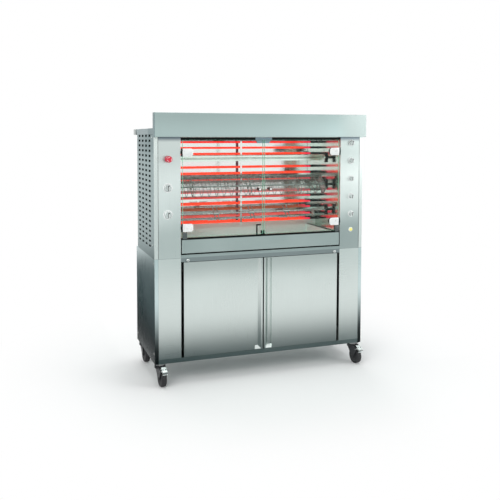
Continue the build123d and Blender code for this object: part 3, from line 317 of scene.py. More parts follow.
def buildGrainGroup():
    # long scratches: noise squeezed by Stretch, with a second slower layer
    group, given = openGroup("brushedGrain", {"Vector": (0, 0, 0), "Stretch": (4, 300, 300),
                                              "Cloud Scale": 3.0})
    squeeze = addNode(group, "VectorMath", {0: given["Vector"], 1: given["Stretch"]},
                      operation="MULTIPLY")
    fine = addNode(group, "TexNoise", {"Vector": squeeze.outputs[0], "Scale": 1.0, "Detail": 3.0})
    cloud = addNode(group, "TexNoise", {"Vector": given["Vector"], "Scale": given["Cloud Scale"],
                                        "Detail": 4.0})
    return closeGroup(group, {"Grain": fine.outputs["Fac"], "Cloud": cloud.outputs["Fac"]})


def buildToneGroup():
    # spreads a mask between two colours and between two roughness values
    group, given = openGroup("toneSpread", {
        "Mask": 0.5, "Low": 0.3, "High": 0.7, "Dark": (0.4, 0.4, 0.4, 1),
        "Light": (0.8, 0.8, 0.8, 1), "Smooth": 0.25, "Rough": 0.4})
    spread = addNode(group, "MapRange", {"Value": given["Mask"], "From Min": given["Low"],
                                         "From Max": given["High"]}).outputs[0]
    tone = addNode(group, "Mix", {"Factor": spread, 6: given["Dark"], 7: given["Light"]},
                   data_type="RGBA")
    sheen = addNode(group, "MapRange", {"Value": spread, "To Min": given["Smooth"],
                                        "To Max": given["Rough"]})
    return closeGroup(group, {"Color": tone.outputs[2], "Roughness": sheen.outputs[0]})


def buildFadeGroup():
    # 0 to 1 along one direction, between two distances, softened by Smoothstep
    group, given = openGroup("fadeAlong", {"Vector": (0, 0, 0), "Direction": (0, 0, 1),
                                           "Start": 0.0, "End": 1.0})
    along = addNode(group, "VectorMath", {0: given["Vector"], 1: given["Direction"]},
                    operation="DOT_PRODUCT")
    ramp = addNode(group, "MapRange", {"Value": along.outputs["Value"], "From Min": given["Start"],
                                       "From Max": given["End"]}, interpolation_type="SMOOTHSTEP")
    return closeGroup(group, {"Fade": ramp.outputs[0]})


grainGroup = buildGrainGroup()
toneGroup = buildToneGroup()
fadeGroup = buildFadeGroup()
materials = {}


class Finish:
    # one material under way: its tree, its shader and its object coordinates
    def __init__(self, name, metallic=0.0, roughness=0.5):
        self.material = materials[name] = bpy.data.materials.new(name)
        self.material.use_nodes = True
        self.tree = self.material.node_tree
        self.shader = self.tree.nodes["Principled BSDF"]
        self.place = self.add("TexCoord").outputs["Object"]
        self.shade({"Metallic": metallic, "Roughness": roughness})

    def add(self, kind, given=None, **settings):
        return addNode(self.tree, kind, given, **settings)

    def shade(self, given):
        feed(self.tree, self.shader, given)

    def math(self, operation, first, second):
        return self.add("Math", {0: first, 1: second}, operation=operation).outputs[0]

    def mix(self, mask, low, high, blend="MIX"):
        given = {"Factor": mask, 6: low, 7: high}
        return self.add("Mix", given, data_type="RGBA", blend_type=blend).outputs[2]

    def grained(self, stretch, cloudScale):
        given = {"Vector": self.place, "Stretch": stretch, "Cloud Scale": cloudScale}
        return self.add("Group", given, node_tree=grainGroup).outputs

    def fade(self, direction, start, end):
        given = {"Vector": self.place, "Direction": direction, "Start": start, "End": end}
        return self.add("Group", given, node_tree=fadeGroup).outputs["Fade"]

    def spread(self, mask, reach, dark, light, roughness=(0.25, 0.4)):
        given = {"Mask": mask, "Low": reach[0], "High": reach[1], "Dark": dark, "Light": light,
                 "Smooth": roughness[0], "Rough": roughness[1]}
        return self.add("Group", given, node_tree=toneGroup).outputs

    def bump(self, height, strength, distance):
        given = {"Strength": strength, "Distance": distance, "Height": height}
        self.shade({"Normal": self.add("Bump", given).outputs["Normal"]})

    def close(self, colour, spread, height, strength, distance):
        self.shade({"Base Color": colour, "Roughness": spread["Roughness"]})
        self.bump(height, strength, distance)

    def trimmed(self, colour, trims, pale=None):
        # each trim gives another tone past a place, in most uses a painted shade or light:
        # direction, start, end, tone
        for direction, start, end, tone in trims:
            colour = self.mix(self.fade(direction, start, end), colour, tone)
        if pale:
            # painted reflection: past this one the metal turns to a pale, paint-like matt tone
            *reach, tone = pale
            fade = self.fade(*reach)
            self.shade({"Metallic": self.math("SUBTRACT", 1.0, fade)})
            colour = self.mix(fade, colour, tone)
        return colour

    def showBlend(self, mask, first, second):
        # the surface is a blend of two shaders
        blend = self.add("MixShader", {0: mask, 1: first.outputs[0], 2: second.outputs[0]})
        feed(self.tree, self.tree.nodes["Material Output"], {"Surface": blend.outputs[0]})


# Brushed stainless sheet, with its grain along one axis
def brushedSteel(name, tone, grainAxis="x", roughness=(0.27, 0.34), foot=None, trims=(),
                 pale=None):
    finish = Finish(name, metallic=1.0)
    fineness, run = 900.0, 5.0
    stretch = [fineness] * 3
    stretch["xyz".index(grainAxis)] = run
    grain = finish.grained(stretch, 2.2)
    blend = finish.math("ADD", finish.math("MULTIPLY", grain["Cloud"], 0.6),
                        finish.math("MULTIPLY", grain["Grain"], 0.4))
    spread = finish.spread(blend, (0.35, 0.65), shaded(tone, 0.95), shaded(tone, 1.05), roughness)
    colour = spread["Color"]
    if foot:
        # painted shade towards the foot of the sheet where the share is below 1, painted light
        # where it is above 1
        start, end, share = foot
        colour = finish.mix(finish.fade(upward, start, end), shaded(tone, share), colour)
    finish.close(finish.trimmed(colour, trims, pale), spread, grain["Grain"], 0.06, 0.0002)
    finish.shade({"Anisotropic": 0.45})


# Mirror-like chamber steel with a trace of heat colour
def heatedMirror(name, tone, heatTone, roughness=(0.07, 0.16), trims=(), pale=None):
    finish = Finish(name, metallic=1.0)
    grain = finish.grained((3.0, 500.0, 500.0), 5.0)
    spread = finish.spread(grain["Cloud"], (0.35, 0.75), tone, heatTone, roughness)
    colour = finish.trimmed(spread["Color"], trims, pale)
    finish.close(colour, spread, grain["Cloud"], 0.05, 0.002)


# Moulded or cast plastic, with a fine pebble
def mouldedPlastic(name, tone, roughness=0.42, pebble=900.0, relief=0.15, coat=0.0):
    finish = Finish(name, roughness=roughness)
    grain = finish.grained([pebble] * 3, 30.0)
    spread = finish.spread(grain["Cloud"], (0.3, 0.7), shaded(tone, 0.88), shaded(tone, 1.12),
                           (roughness - 0.05, roughness + 0.08))
    finish.close(spread["Color"], spread, grain["Grain"], relief, 0.0003)
    finish.shade({"Coat Weight": coat})


# Zinc with its spangle
def galvanised(name, tone):
    finish = Finish(name, metallic=1.0)
    cells = finish.add("TexVoronoi", {"Scale": 120.0, "Vector": finish.place})
    red = finish.add("SeparateColor", {"Color": cells.outputs["Color"]}).outputs["Red"]
    spread = finish.spread(red, (0.0, 1.0), shaded(tone, 0.82), shaded(tone, 1.12), (0.28, 0.45))
    finish.close(spread["Color"], spread, cells.outputs["Distance"], 0.08, 0.0005)


# Satin enamel or nickel, slightly uneven
def satinMetal(name, tone, metallic, roughness):
    finish = Finish(name, metallic=metallic)
    grain = finish.grained((400.0, 400.0, 30.0), 18.0)
    spread = finish.spread(grain["Cloud"], (0.3, 0.7), shaded(tone, 0.92), shaded(tone, 1.06),
                           (roughness - 0.06, roughness + 0.08))
    finish.close(spread["Color"], spread, grain["Grain"], 0.06, 0.0002)


catchLook = {
    # near-black hardware tones: painted shade
    "dark": (0.004, 0.007, 0.007),
    "worn": (0.006, 0.009, 0.009),
    "plate": (0.30, 0.40, 0.46),
    "half": 0.056,
    "above": 1.3,
    "proud": 0.011,
}


# Door hardware in near-black, a painted shade for the dark gap under the hood, with a light catch
# plate in the middle of the header
def headerCatch(name):
    look = catchLook
    finish = Finish(name, roughness=0.45)
    grain = finish.grained((400.0, 400.0, 30.0), 18.0)
    spread = finish.spread(grain["Cloud"], (0.3, 0.7), look["dark"], look["worn"], (0.4, 0.6))
    plate = finish.fade(upward, look["above"], look["above"] + 0.01)
    for direction in (toRight, toLeft):
        edge = finish.fade(direction, -look["half"], 0.001 - look["half"])
        plate = finish.math("MULTIPLY", plate, edge)
    face = -frontFace - look["proud"]
    plate = finish.math("MULTIPLY", plate, finish.fade(toViewer, face - 0.0005, face))
    finish.close(finish.mix(plate, spread["Color"], look["plate"]), spread, grain["Grain"], 0.06,
                 0.0002)
    finish.shade({"Specular IOR Level": 0.15})


elementLook = {
    "warm": (0.62, 0.012, 0.05),
    "cold": (0.018, 0.022, 0.022),
    "coldLength": 0.065,
    "strength": 1.0,
    # the glow of each row, from the lowest up
    "rows": [
        (1.0, 0.055, 0.02), (0.55, 0.07, 0.06), (0.24, 0.05, 0.02), (1.0, 0.055, 0.02),
        (0.52, 0.05, 0.045), (0.60, 0.10, 0.11), (0.60, 0.06, 0.045), (1.0, 0.055, 0.02),
        (1.0, 0.05, 0.02), (1.0, 0.05, 0.02), (1.0, 0.045, 0.018), (0.90, 0.025, 0.02),
    ],
    "shares": [0.209, 0.264, 0.328, 0.38, 0.437, 0.49, 0.601, 0.663, 0.721, 0.846, 0.902,
               0.955],
}


# Tube element: red hot in the middle, with black cold ends
def hotTube(name):
    look = elementLook
    finish = Finish(name, roughness=0.55)
    cold = elementsHigh[0] - look["coldLength"]
    left, right = (finish.fade(direction, -cold - 0.004, -cold + 0.004)
                   for direction in (toRight, toLeft))
    heat = finish.math("MULTIPLY", left, right)
    across = finish.fade(toRight, cold - 0.09, cold)
    scale = finish.grained((60.0, 200.0, 200.0), 9.0)
    split = finish.add("SeparateXYZ", {0: finish.place})
    level = finish.add("MapRange", {"Value": split.outputs["Z"], "From Min": elementsLow[2],
                                    "From Max": elementsHigh[2]})
    ramp = finish.add("ValToRGB", {"Fac": level.outputs[0]})
    ramp.color_ramp.interpolation = "CONSTANT"
    shares = look["shares"]
    span = shares[-1] - shares[0]
    stops = [0.0] + [((low + high) / 2 - shares[0]) / span
                     for low, high in zip(shares, shares[1:])]
    stripes = ramp.color_ramp.elements
    while len(stripes) < len(stops):
        stripes.new(0.5)
    for stripe, stop, tone in zip(stripes, stops, look["rows"]):
        stripe.position = stop
        stripe.color = opaque(tone)
    flicker = finish.spread(scale["Cloud"], (0.25, 0.75), (0.78, 0.78, 0.78), (1, 1, 1))
    rowGlow = finish.mix(1.0, ramp.outputs["Color"], flicker["Color"], "MULTIPLY")
    glow = finish.mix(across, rowGlow, look["warm"])
    finish.shade({"Base Color": finish.mix(heat, look["cold"], glow),
                  "Emission Color": finish.mix(heat, (0, 0, 0), glow),
                  "Emission Strength": look["strength"], "Specular IOR Level": 0.1})
    finish.bump(scale["Grain"], 0.2, 0.0004)


glassLook = {
    "pane": (0.72, 0.90, 0.82),
    "edge": (0.25, 0.62, 0.42),
    "edgeWidths": {"upright": 0.006, "level": 0.003},
    "edgeStrength": 0.42,
    "index": 1.14,
    "clearness": 0.02,
}


# Toughened glass: clear on its faces and green along its edges
def toughenedGlass(name, side):
    look = glassLook
    finish = Finish(name, roughness=0.03)
    low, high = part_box(f"glass_door_{side}")
    edge = None
    for direction, limit in ((toLeft, -low[0]), (toRight, high[0]), (downward, -low[2]),
                             (upward, high[2])):
        width = look["edgeWidths"]["level" if direction[2] else "upright"]
        band = finish.fade(direction, limit - width, limit - width / 2)
        edge = finish.math("MAXIMUM", edge, band) if edge else band
    haze = finish.grained((20.0, 20.0, 20.0), 3.0)
    fresnel = finish.add("Fresnel", {"IOR": look["index"]})
    film = finish.math("MULTIPLY", haze["Cloud"], look["clearness"])
    sheen = finish.math("ADD", film, fresnel.outputs["Fac"])
    rim = finish.math("MULTIPLY", edge, look["edgeStrength"])
    finish.shade({"Base Color": finish.mix(edge, look["pane"], look["edge"]),
                  "Alpha": finish.math("MAXIMUM", sheen, rim)})


fittingLook = {
    "plate": (0.80, 0.84, 0.82),
    "black": (0.012, 0.012, 0.014),
    "pullReach": 0.060,
}


# Door fittings: pale plates, black pads behind the glass, and black pulls
def doorFitting(name, inward):
    look = fittingLook
    finish = Finish(name, metallic=0.35)
    grain = finish.grained((300.0, 300.0, 30.0), 20.0)
    spread = finish.spread(grain["Cloud"], (0.3, 0.7), shaded(look["plate"], 0.93),
                           shaded(look["plate"], 1.05), (0.26, 0.38))
    pads = finish.fade(toRear, glassHigh[1] + 0.0001, glassHigh[1] + 0.0004)
    pulls = finish.fade(inward, -look["pullReach"] - 0.001, -look["pullReach"])
    colour = finish.mix(finish.math("MAXIMUM", pads, pulls), spread["Color"], look["black"])
    finish.close(colour, spread, grain["Grain"], 0.05, 0.0002)


# Places where a sheet changes its tone, most of them painted shade, light and reflection
steelTone = (0.74, 0.81, 0.785)
# pale tone of the painted reflection at the tray and below the elements
paleReflectionTone = (0.78, 0.98, 0.92)
hoodLow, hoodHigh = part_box("hood_fascia")
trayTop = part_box("drip_tray")[1][2]
rowsLow, rowsHigh = elementsLow[2], elementsHigh[2]
# painted shadow of the hood on the steel just below it
hoodShadow = (upward, hoodLow[2] - 0.034, hoodLow[2] - 0.002, (0.17, 0.21, 0.24))
frontFold = (toViewer, -frontFace - 0.005, -frontFace - 0.004, steelTone)

brushedSteel("frontSteel", steelTone)
# painted shade darkens the doors towards their foot; they are also darker towards their top
brushedSteel("doorSteel", steelTone, "z", foot=(0.14, 0.42, 0.85),
             trims=[(upward, 0.60, 0.74, (0.56, 0.62, 0.60))])
# the two columns are lit and shaded copies of the steel: painted shade at the head, at the foot and
# under the hood, darker on the right
for name, tone, headShade, footStart, footShade in (
        ("columnLeft", (0.80, 0.87, 0.85), (0.63, 0.70, 0.68), 1.05, (0.66, 0.73, 0.71)),
        ("columnRight", (0.78, 0.85, 0.825), (0.50, 0.57, 0.55), 1.07, (0.47, 0.54, 0.53))):
    brushedSteel(name, tone, "z", trims=[(upward, 1.22, 1.42, headShade),
                                         (downward, -footStart, -0.90, footShade), hoodShadow])
# painted light makes the hood lighter towards its foot and its right end; painted shade darkens its
# left return
brushedSteel("hoodSteel", (0.345, 0.435, 0.425), foot=(hoodLow[2] + 0.01, hoodHigh[2], 1.22),
             trims=[(toRight, 0.46, 0.62, (0.41, 0.48, 0.465)),
                    (toLeft, -hoodLow[0] - 0.003, -hoodLow[0] - 0.001, (0.17, 0.25, 0.26))])
# painted shade: the louvred sides are toned far darker than the front steel, with the pockets
# near-black and the top of the left side darker still; the front fold keeps the front steel's tone
for name, inward, topShades in (("louvreLeft", toRight, [(upward, 1.34, 1.46, (0.22, 0.30, 0.305))]),
                               ("louvreRight", toLeft, [])):
    pocketShade = (inward, -0.6985, -0.6975, (0.02, 0.03, 0.03))
    brushedSteel(name, (0.31, 0.40, 0.40), "z", (0.30, 0.42), trims=topShades + [pocketShade, frontFold])
# painted shade darkens the cabinet's sides strongly towards their foot
brushedSteel("cabinetSideSteel", (0.66, 0.79, 0.79), "z", (0.24, 0.34), foot=(0.20, 0.54, 0.10))
brushedSteel("backSteel", (0.50, 0.53, 0.52), "x", (0.34, 0.46))
# the top cover is a darker copy of the steel: painted shade
brushedSteel("coverShadedSteel", (0.25, 0.33, 0.34))
brushedSteel("sillSteel", (0.42, 0.50, 0.49))
# the deck is a darker copy of the steel: painted shade under the oven
brushedSteel("deckShadedSteel", (0.30, 0.35, 0.355))
# painted shade makes the tray's top rim near-black; behind its front the tray turns to a pale matt
# tone, a painted reflection
brushedSteel("traySteel", (0.49, 0.57, 0.555),
             trims=[(upward, trayTop - 0.006, trayTop - 0.005, (0.012, 0.018, 0.018))],
             pale=(toRear, frontFace + 0.010, frontFace + 0.014, paleReflectionTone))
heatedMirror("chamberMirror", (0.66, 0.79, 0.71), (0.64, 0.71, 0.65), (0.11, 0.18))
# painted shade turns the reflector plum and then near-black above the top row; below the lowest row
# it turns to a pale matt tone, a painted reflection
heatedMirror("reflectorMirror", (0.80, 0.88, 0.84), (0.88, 0.82, 0.82),
             trims=[(upward, rowsHigh - 0.004, rowsHigh + 0.003, (0.20, 0.14, 0.17)),
                    (upward, rowsHigh + 0.006, rowsHigh + 0.008, (0.015, 0.022, 0.022))],
             pale=(downward, -rowsLow - 0.004, -rowsLow + 0.004, paleReflectionTone))
galvanised("zinc", (0.70, 0.72, 0.71))
hotTube("elementHeat")
headerCatch("catchDark")
for side, inward in (("left", toRight), ("right", toLeft)):
    toughenedGlass(f"glass{side.title()}", side)
    doorFitting(f"fittings{side.title()}", inward)
for settings in (
        # name, tone, metallic, roughness
        ("screwSteel", (0.62, 0.65, 0.64), 1.0, 0.28),
        ("leverZinc", (0.80, 0.88, 0.86), 0.35, 0.28),
        # plum for a painted shadow on the chamber's back wall
        ("seamPlum", (0.16, 0.085, 0.115), 0.3, 0.4),
        ("seamGrey", (0.30, 0.38, 0.36), 0.5, 0.4),
        ("hingeDark", (0.012, 0.016, 0.016), 0.0, 0.55),
        ("headBlack", (0.018, 0.022, 0.022), 0.5, 0.34),
        ("knobSilver", (0.66, 0.71, 0.70), 0.6, 0.26),
        ("knobGrip", (0.82, 0.86, 0.85), 0.3, 0.24),
        ("plateWhite", (0.86, 0.88, 0.87), 0.25, 0.30),
        ("clipGrey", (0.10, 0.12, 0.12), 0.6, 0.35),
        ("spitSteel", (0.50, 0.58, 0.55), 0.7, 0.24),
        ("bladeSteel", (0.80, 0.93, 0.85), 1.0, 0.20),
        ("wireSteel", (0.24, 0.30, 0.275), 0.35, 0.30)):
    satinMetal(*settings)
for settings in (
        # name, tone, roughness, pebble, relief, coat
        ("forkBlack", (0.022, 0.023, 0.026), 0.4, 900.0, 0.15, 0.2),
        ("tyreRubber", (0.020, 0.020, 0.022), 0.62, 1500.0, 0.3),
        ("hubGrey", (0.06, 0.065, 0.07), 0.45),
        ("dialWhite", (0.82, 0.85, 0.84), 0.3, 700.0, 0.05, 0.3),
        ("markBlack", (0.014, 0.014, 0.016), 0.4),
        ("markGrey", (0.12, 0.13, 0.13), 0.4),
        # a darker copy of the stop button's red: painted shade for the side of its head
        ("stopDark", (0.50, 0.006, 0.045), 0.35),
        ("padBlack", (0.012, 0.013, 0.014), 0.55, 1200.0, 0.25),
        ("pullBlack", (0.010, 0.010, 0.012), 0.28, 800.0, 0.05, 0.5),
        ("markWhite", (0.86, 0.88, 0.87), 0.35, 900.0, 0.04),
        ("stopRed", (0.62, 0.006, 0.035), 0.25, 500.0, 0.05, 0.6),
        ("lampYellow", (0.95, 0.86, 0.22), 0.2, 300.0, 0.05, 0.8)):
    mouldedPlastic(*settings)
print("finishes ready:", len(materials))

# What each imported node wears, by the beginning of its name
wardrobe = {
    "frontSteel": ["cabinet_front_panels"],
    "columnLeft": ["control_panel_left"],
    "columnRight": ["control_panel_right"],
    "sillSteel": ["cabinet_floor", "oven_base"],
    "deckShadedSteel": ["cabinet_top"],
    "doorSteel": ["cabinet_door_"],
    "hoodSteel": ["hood_fascia"],
    "coverShadedSteel": ["oven_top_cover"],
    "louvreLeft": ["oven_side_left"],
    "louvreRight": ["oven_side_right"],
    "cabinetSideSteel": ["cabinet_side_"],
    "backSteel": ["cabinet_back", "oven_back", "rear_spacer"],
    "traySteel": ["drip_tray"],
    "chamberMirror": ["chamber_liner"],
    "reflectorMirror": ["chamber_reflector"],
    "screwSteel": ["panel_screws"],
    "zinc": ["castor_plates", "castor_brake_", "gear_motors"],
    "forkBlack": ["castor_fork_"],
    "tyreRubber": ["castor_wheel_"],
    "markBlack": ["cable_gland", "control_switches"],
    "elementHeat": ["heating_elements"],
    "glassLeft": ["glass_door_left"],
    "glassRight": ["glass_door_right"],
    "fittingsLeft": ["glass_fittings_left"],
    "fittingsRight": ["glass_fittings_right"],
    "hingeDark": ["spit_bearings"],
    "catchDark": ["door_hardware"],
    "headBlack": ["drive_coupling_"],
    "dialWhite": ["control_bezels"],
    "knobSilver": ["knob_"],
    "stopRed": ["estop_button"],
    "lampYellow": ["indicator_lamp"],
    "spitSteel": ["spit_basket", "spit_fork"],
    "bladeSteel": ["spit_blade"],
    "wireSteel": ["basket_grilles", "basket_lid"],
}
wearers = {nodeName: finishName for finishName, starts in wardrobe.items()
           for nodeName in nodes if nodeName.startswith(tuple(starts))}
for nodeName, finishName in wearers.items():
    node = nodes[nodeName]
    if not node.data.materials:
        node.data.materials.append(None)
    for slot in node.material_slots:
        slot.material = materials[finishName]
print("nodes without a finish:", sorted(set(nodes) - set(wearers)))


# Studio: camera as in the photograph, pale floor, soft light
cameraLook = {
    "place": (-1.5433, frontFace - 3.7847, 1.496),
    "yawRight": 18.51,
    "pitchDown": 3.08,
    "lens": 47.03,
    "shift": (0.0561, -0.1534),
}
camera = bpy.data.objects.new("photoCamera", bpy.data.cameras.new("photoCamera"))
bpy.context.scene.collection.objects.link(camera)
camera.location = cameraLook["place"]
camera.rotation_euler = (math.radians(90 - cameraLook["pitchDown"]), 0,
                         -math.radians(cameraLook["yawRight"]))
camera.data.lens = cameraLook["lens"]
camera.data.sensor_width = 36
camera.data.shift_x, camera.data.shift_y = cameraLook["shift"]
camera.data.clip_end = 100
bpy.context.scene.camera = camera

lightLook = {
    # name: place, aim, size, watts, colour
    "keyLeft": ((-3.2, -3.6, 3.6), (0, 0, 0.9), 2.6, 85, (1.0, 1.0, 0.99)),
    "fillRight": ((3.8, -3.0, 2.2), (0, 0, 0.9), 2.4, 45, (0.97, 0.99, 1.0)),
    "topSoft": ((0.0, 0.4, 4.2), (0, 0, 1.0), 3.0, 60, (1.0, 1.0, 1.0)),
    "backSoft": ((1.0, 4.5, 2.6), (0, 0, 0.9), 2.4, 45, (1.0, 1.0, 1.0)),
}
for lampName, (place, target, size, watts, tint) in lightLook.items():
    lamp = bpy.data.objects.new(lampName, bpy.data.lights.new(lampName, "AREA"))
    bpy.context.scene.collection.objects.link(lamp)
    lamp.data.size = size
    lamp.data.energy = watts
    lamp.data.color = tint
    lamp.location = place
    lamp.rotation_euler = (Vector(target) - Vector(place)).to_track_quat("-Z", "Y").to_euler()

worldLook = {"seen": (1.0, 1.0, 1.0), "ambient": (0.60, 0.61, 0.615)}
world = bpy.data.worlds.new("paleStudio")
bpy.context.scene.world = world
world.use_nodes = True
air = world.node_tree
airTone = addNode(air, "Mix", {"Factor": shownRays(air), 6: worldLook["ambient"],
                               7: worldLook["seen"]}, data_type="RGBA")
feed(air, air.nodes["Background"], {"Strength": 1.0, "Color": airTone.outputs[2]})

floorLook = {"paint": (0.93, 0.935, 0.93), "fadeStart": 0.8, "fadeEnd": 1.8}


def paintFloor(name):
    # keeps the shadow near the object and turns into the white background farther out
    look = floorLook
    finish = Finish(name, roughness=0.8)
    finish.shade({"Base Color": look["paint"], "Specular IOR Level": 0.2})
    reach = finish.add("VectorMath", {0: finish.place}, operation="LENGTH")
    fade = finish.add("MapRange", {"From Min": look["fadeStart"], "From Max": look["fadeEnd"],
                                   "Value": reach.outputs["Value"]},
                      interpolation_type="SMOOTHSTEP")
    white = finish.add("Emission", {"Color": (1, 1, 1), "Strength": 1.0})
    shown = finish.math("MULTIPLY", shownRays(finish.tree), fade.outputs[0])
    finish.showBlend(shown, finish.shader, white)
    return finish.material


clearSelection()
bpy.ops.mesh.primitive_plane_add(size=40, location=(0, 0, 0))
floor = bpy.context.object
floor.name = "paleFloor"
floor.data.materials.append(paintFloor("floorPaint"))

cardLook = {
    # name: centre, size, tone, direction of the fade, where it starts and ends
    "frontCard": ((0, frontFace - 0.9, 0.004), (6, 1.6), (0.02, 0.05, 0.055), toViewer, 0.75, 1.45),
    "leftCard": ((-2.2, 2.2, 0.004), (2.8, 5.6), (0.015, 0.035, 0.04), toRear, 3.4, 5.0),
    "farCard": ((0, -5.9, 0.004), (16, 6.2), (0.27, 0.38, 0.375), toRear, -4.4, -2.9),
}
for cardName, (centre, (width, length), tone, away, near, far) in cardLook.items():
    # only reflections see a card, like a black flag beside the set
    clearSelection()
    bpy.ops.mesh.primitive_plane_add(size=1, location=centre)
    card = bpy.context.object
    card.name = cardName
    card.scale = (width, length, 1)
    applyPlace()
    paint = Finish(cardName)
    paint.showBlend(paint.fade(away, near, far), paint.add("Emission", {"Color": tone}),
                    paint.add("BsdfTransparent"))
    card.data.materials.append(paint.material)
    card.visible_camera = False
    card.visible_diffuse = False
    card.visible_transmission = False
    card.visible_shadow = False
bpy.context.scene.view_settings.view_transform = "Standard"
print("studio ready")


# Castor wheels: a rubber tyre round a stepped grey hub
wheelLook = {
    "radius": 0.050,
    "width": 0.032,
    "rim": 0.037,
    "recess": 0.006,
    "hub": 0.013,
    "dish": 0.008,
    "lip": 0.0015,
}


def modelTyre():
    look = wheelLook
    steps = [(look["radius"] - look["rim"] - 0.002, 0), (0.002, -0.001)]
    tyre = turned(look["radius"], look["width"], steps, steps, sides=72)
    softenEdges(tyre, 0.005, 4)
    return tyre


def modelHub():
    look = wheelLook
    side = [(look["lip"], 0.0), (0.0, -look["recess"] * 0.55), (look["dish"], -0.001),
            (look["rim"] - look["lip"] - look["dish"] - look["hub"] - 0.003, 0.0),
            (0.002, 0.003), (0.001, look["recess"] * 0.4 + 0.0007)]
    hub = turned(look["rim"] - 0.0012, look["width"] - 0.001, side, side, sides=72)
    softenEdges(hub, 0.0006, 2)
    return hub


def fitWheels():
    half = wheelLook["width"] / 2
    models = {"tyre": (modelTyre(), "tyreRubber"), "hub": (modelHub(), "hubGrey")}
    for corner in ("front_left", "front_right", "rear_left", "rear_right"):
        body = f"wheel_{corner}"
        axle = joints[f"{body}_roll"]["axis"]
        place = Matrix.Translation(pivotOf(f"{body}_roll")) @ turnFrom((0, 0, 1), axle)
        for label, (model, finishName) in models.items():
            wheel = placed(copyOf(model, (0, 0, -half)), place)
            finishPiece(wheel, f"{label}_{corner}", finishName, body, f"castor_{body}")
    discard(model for model, finishName in models.values())


fitWheels()
print("wheels done")


# Stamped zinc levers over the brake pedals of the front castors
leverLook = {
    "width": 0.032,
    "sheet": 0.002,
    "turn": 5.0,
    "upper": ((-0.0300, 0.0035), (0.0060, 0.0230)),
    "lower": ((-0.0310, -0.0100), (-0.0220, -0.0180)),
    "hole": 0.0045,
    "holeAcross": 0.009,
}


def modelLeverSheet(start, stop, holed):
    # a plate between two points of the castor's side view, as wide as the pedal
    look = leverLook
    run = Vector((0, stop[0] - start[0], stop[1] - start[1]))
    plate = block((look["width"], run.length, look["sheet"]), (0, run.length / 2, 0), 0.0008)
    if holed:
        cut(plate, [shifted(turned(look["hole"], 0.01, sides=20),
                            side * look["holeAcross"], run.length * 0.5, -0.005)
                    for side in (-1, 1)])
    return placed(plate, moveBy(0, *start) @ turnFrom((0, 1, 0), run))


def fitLevers():
    look = leverLook
    lever = joined([modelLeverSheet(*look["upper"], True), modelLeverSheet(*look["lower"], False)])
    for side in ("left", "right"):
        body = f"brake_front_{side}"
        place = Matrix.Translation(pivotOf(f"{body}_press")) @ spinBy(look["turn"], "Z")
        finishPiece(placed(copyOf(lever), place), f"brakeLever_{side}", "leverZinc",
                    body)
    discard([lever])


fitLevers()
print("brake levers done")


# Round wires of the basket and of its lid
basketLook = {
    "tilt": 47.0,
    "width": 0.125,
    "depth": 0.070,
    "bays": 20,
    "wire": 0.0017,
    "fine": 0.0009,
    "fineWires": 6,
    "rail": 0.0020,
    "railShares": (-0.34, 0.34, 1.0),
    "bend": 0.005,
    "lidGap": 0.0012,
    "solidWire": 0.004,
}


def basketMatrix(x):
    # the basket's own width and depth become X and Y, and its length becomes Z
    tilt = math.radians(basketLook["tilt"])
    axis = pivotOf("spit_middle_turn")
    turn = Matrix(((0, 0, 1), (math.cos(tilt), -math.sin(tilt), 0),
                   (math.sin(tilt), math.cos(tilt), 0)))
    return moveBy(x, axis.y, axis.z) @ turn.to_4x4()


def modelRod(radius, start, length, across, down, end=(0.0006, 0.0004), sides=8):
    # a straight wire along the basket
    rod = turned(radius, length, [end], [end], sides=sides)
    return placed(rod, basketMatrix(start) @ moveBy(across, down, 0))


def modelRow(radius, path, bays, start, length):
    # wires across the basket, side by side from one end to the other
    inset = basketLook["rail"]
    wire = bentWire(radius, path, basketLook["bend"])
    lined(wire, bays + 1, (0, 0, (length - 2 * inset) / bays))
    return placed(wire, basketMatrix(start + inset))


def modelBasketWires(start, length):
    look = basketLook
    wide, deep = look["width"] / 2 - look["wire"], look["depth"] / 2 - look["wire"]
    rim = look["depth"] / 2 - look["solidWire"] - look["lidGap"]
    hoop = [(-wide, rim), (-wide, -deep), (wide, -deep), (wide, rim)]
    close = [(wide, rim), (wide, -deep), (wide / 3, -deep)]
    pieces = [modelRow(look["wire"], hoop, look["bays"], start, length),
              modelRow(look["fine"], close, look["bays"] * 3, start, length)]
    inner = look["wire"] + look["rail"]
    for across, down in ((wide - inner, rim - look["rail"]),
                         (wide - inner, look["bend"] - deep), (wide / 3, inner - deep)):
        for hand in (-1, 1):
            pieces.append(modelRod(look["rail"], start, length, hand * across, down))
    return joined(pieces)


def modelLidWires(start, length):
    look = basketLook
    low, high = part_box("basket_lid")
    wide = look["width"] / 2 - look["wire"]
    half = look["solidWire"] / 2
    top = look["depth"] / 2 - half
    pieces = [modelRow(look["wire"], [(-wide, top), (wide, top)], look["bays"], start, length)]
    for share in look["railShares"]:
        across = share * wide - (look["rail"] if share == 1.0 else 0)
        pieces.append(modelRod(look["rail"], start, length, across, top))
    for number in range(look["fineWires"]):
        across = wide * (2 * (number + 1) / (look["fineWires"] + 1) - 1)
        pieces.append(modelRod(look["fine"], start, length, across, top, (0.0003, 0.0002), 6))
    pieces.append(modelRod(half, low[0], high[0] - low[0], half - look["width"] / 2, top, sides=12))
    return joined(pieces)


def fitBasket():
    low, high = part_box("basket_grilles")
    start, length = low[0], high[0] - low[0]
    finishPiece(modelBasketWires(start, length), "basketWires", "wireSteel",
                "spit_middle", "basket_grilles")
    finishPiece(modelLidWires(start, length), "lidWires", "wireSteel", "basket_lid",
                "basket_lid")


fitBasket()
print("basket wires done")


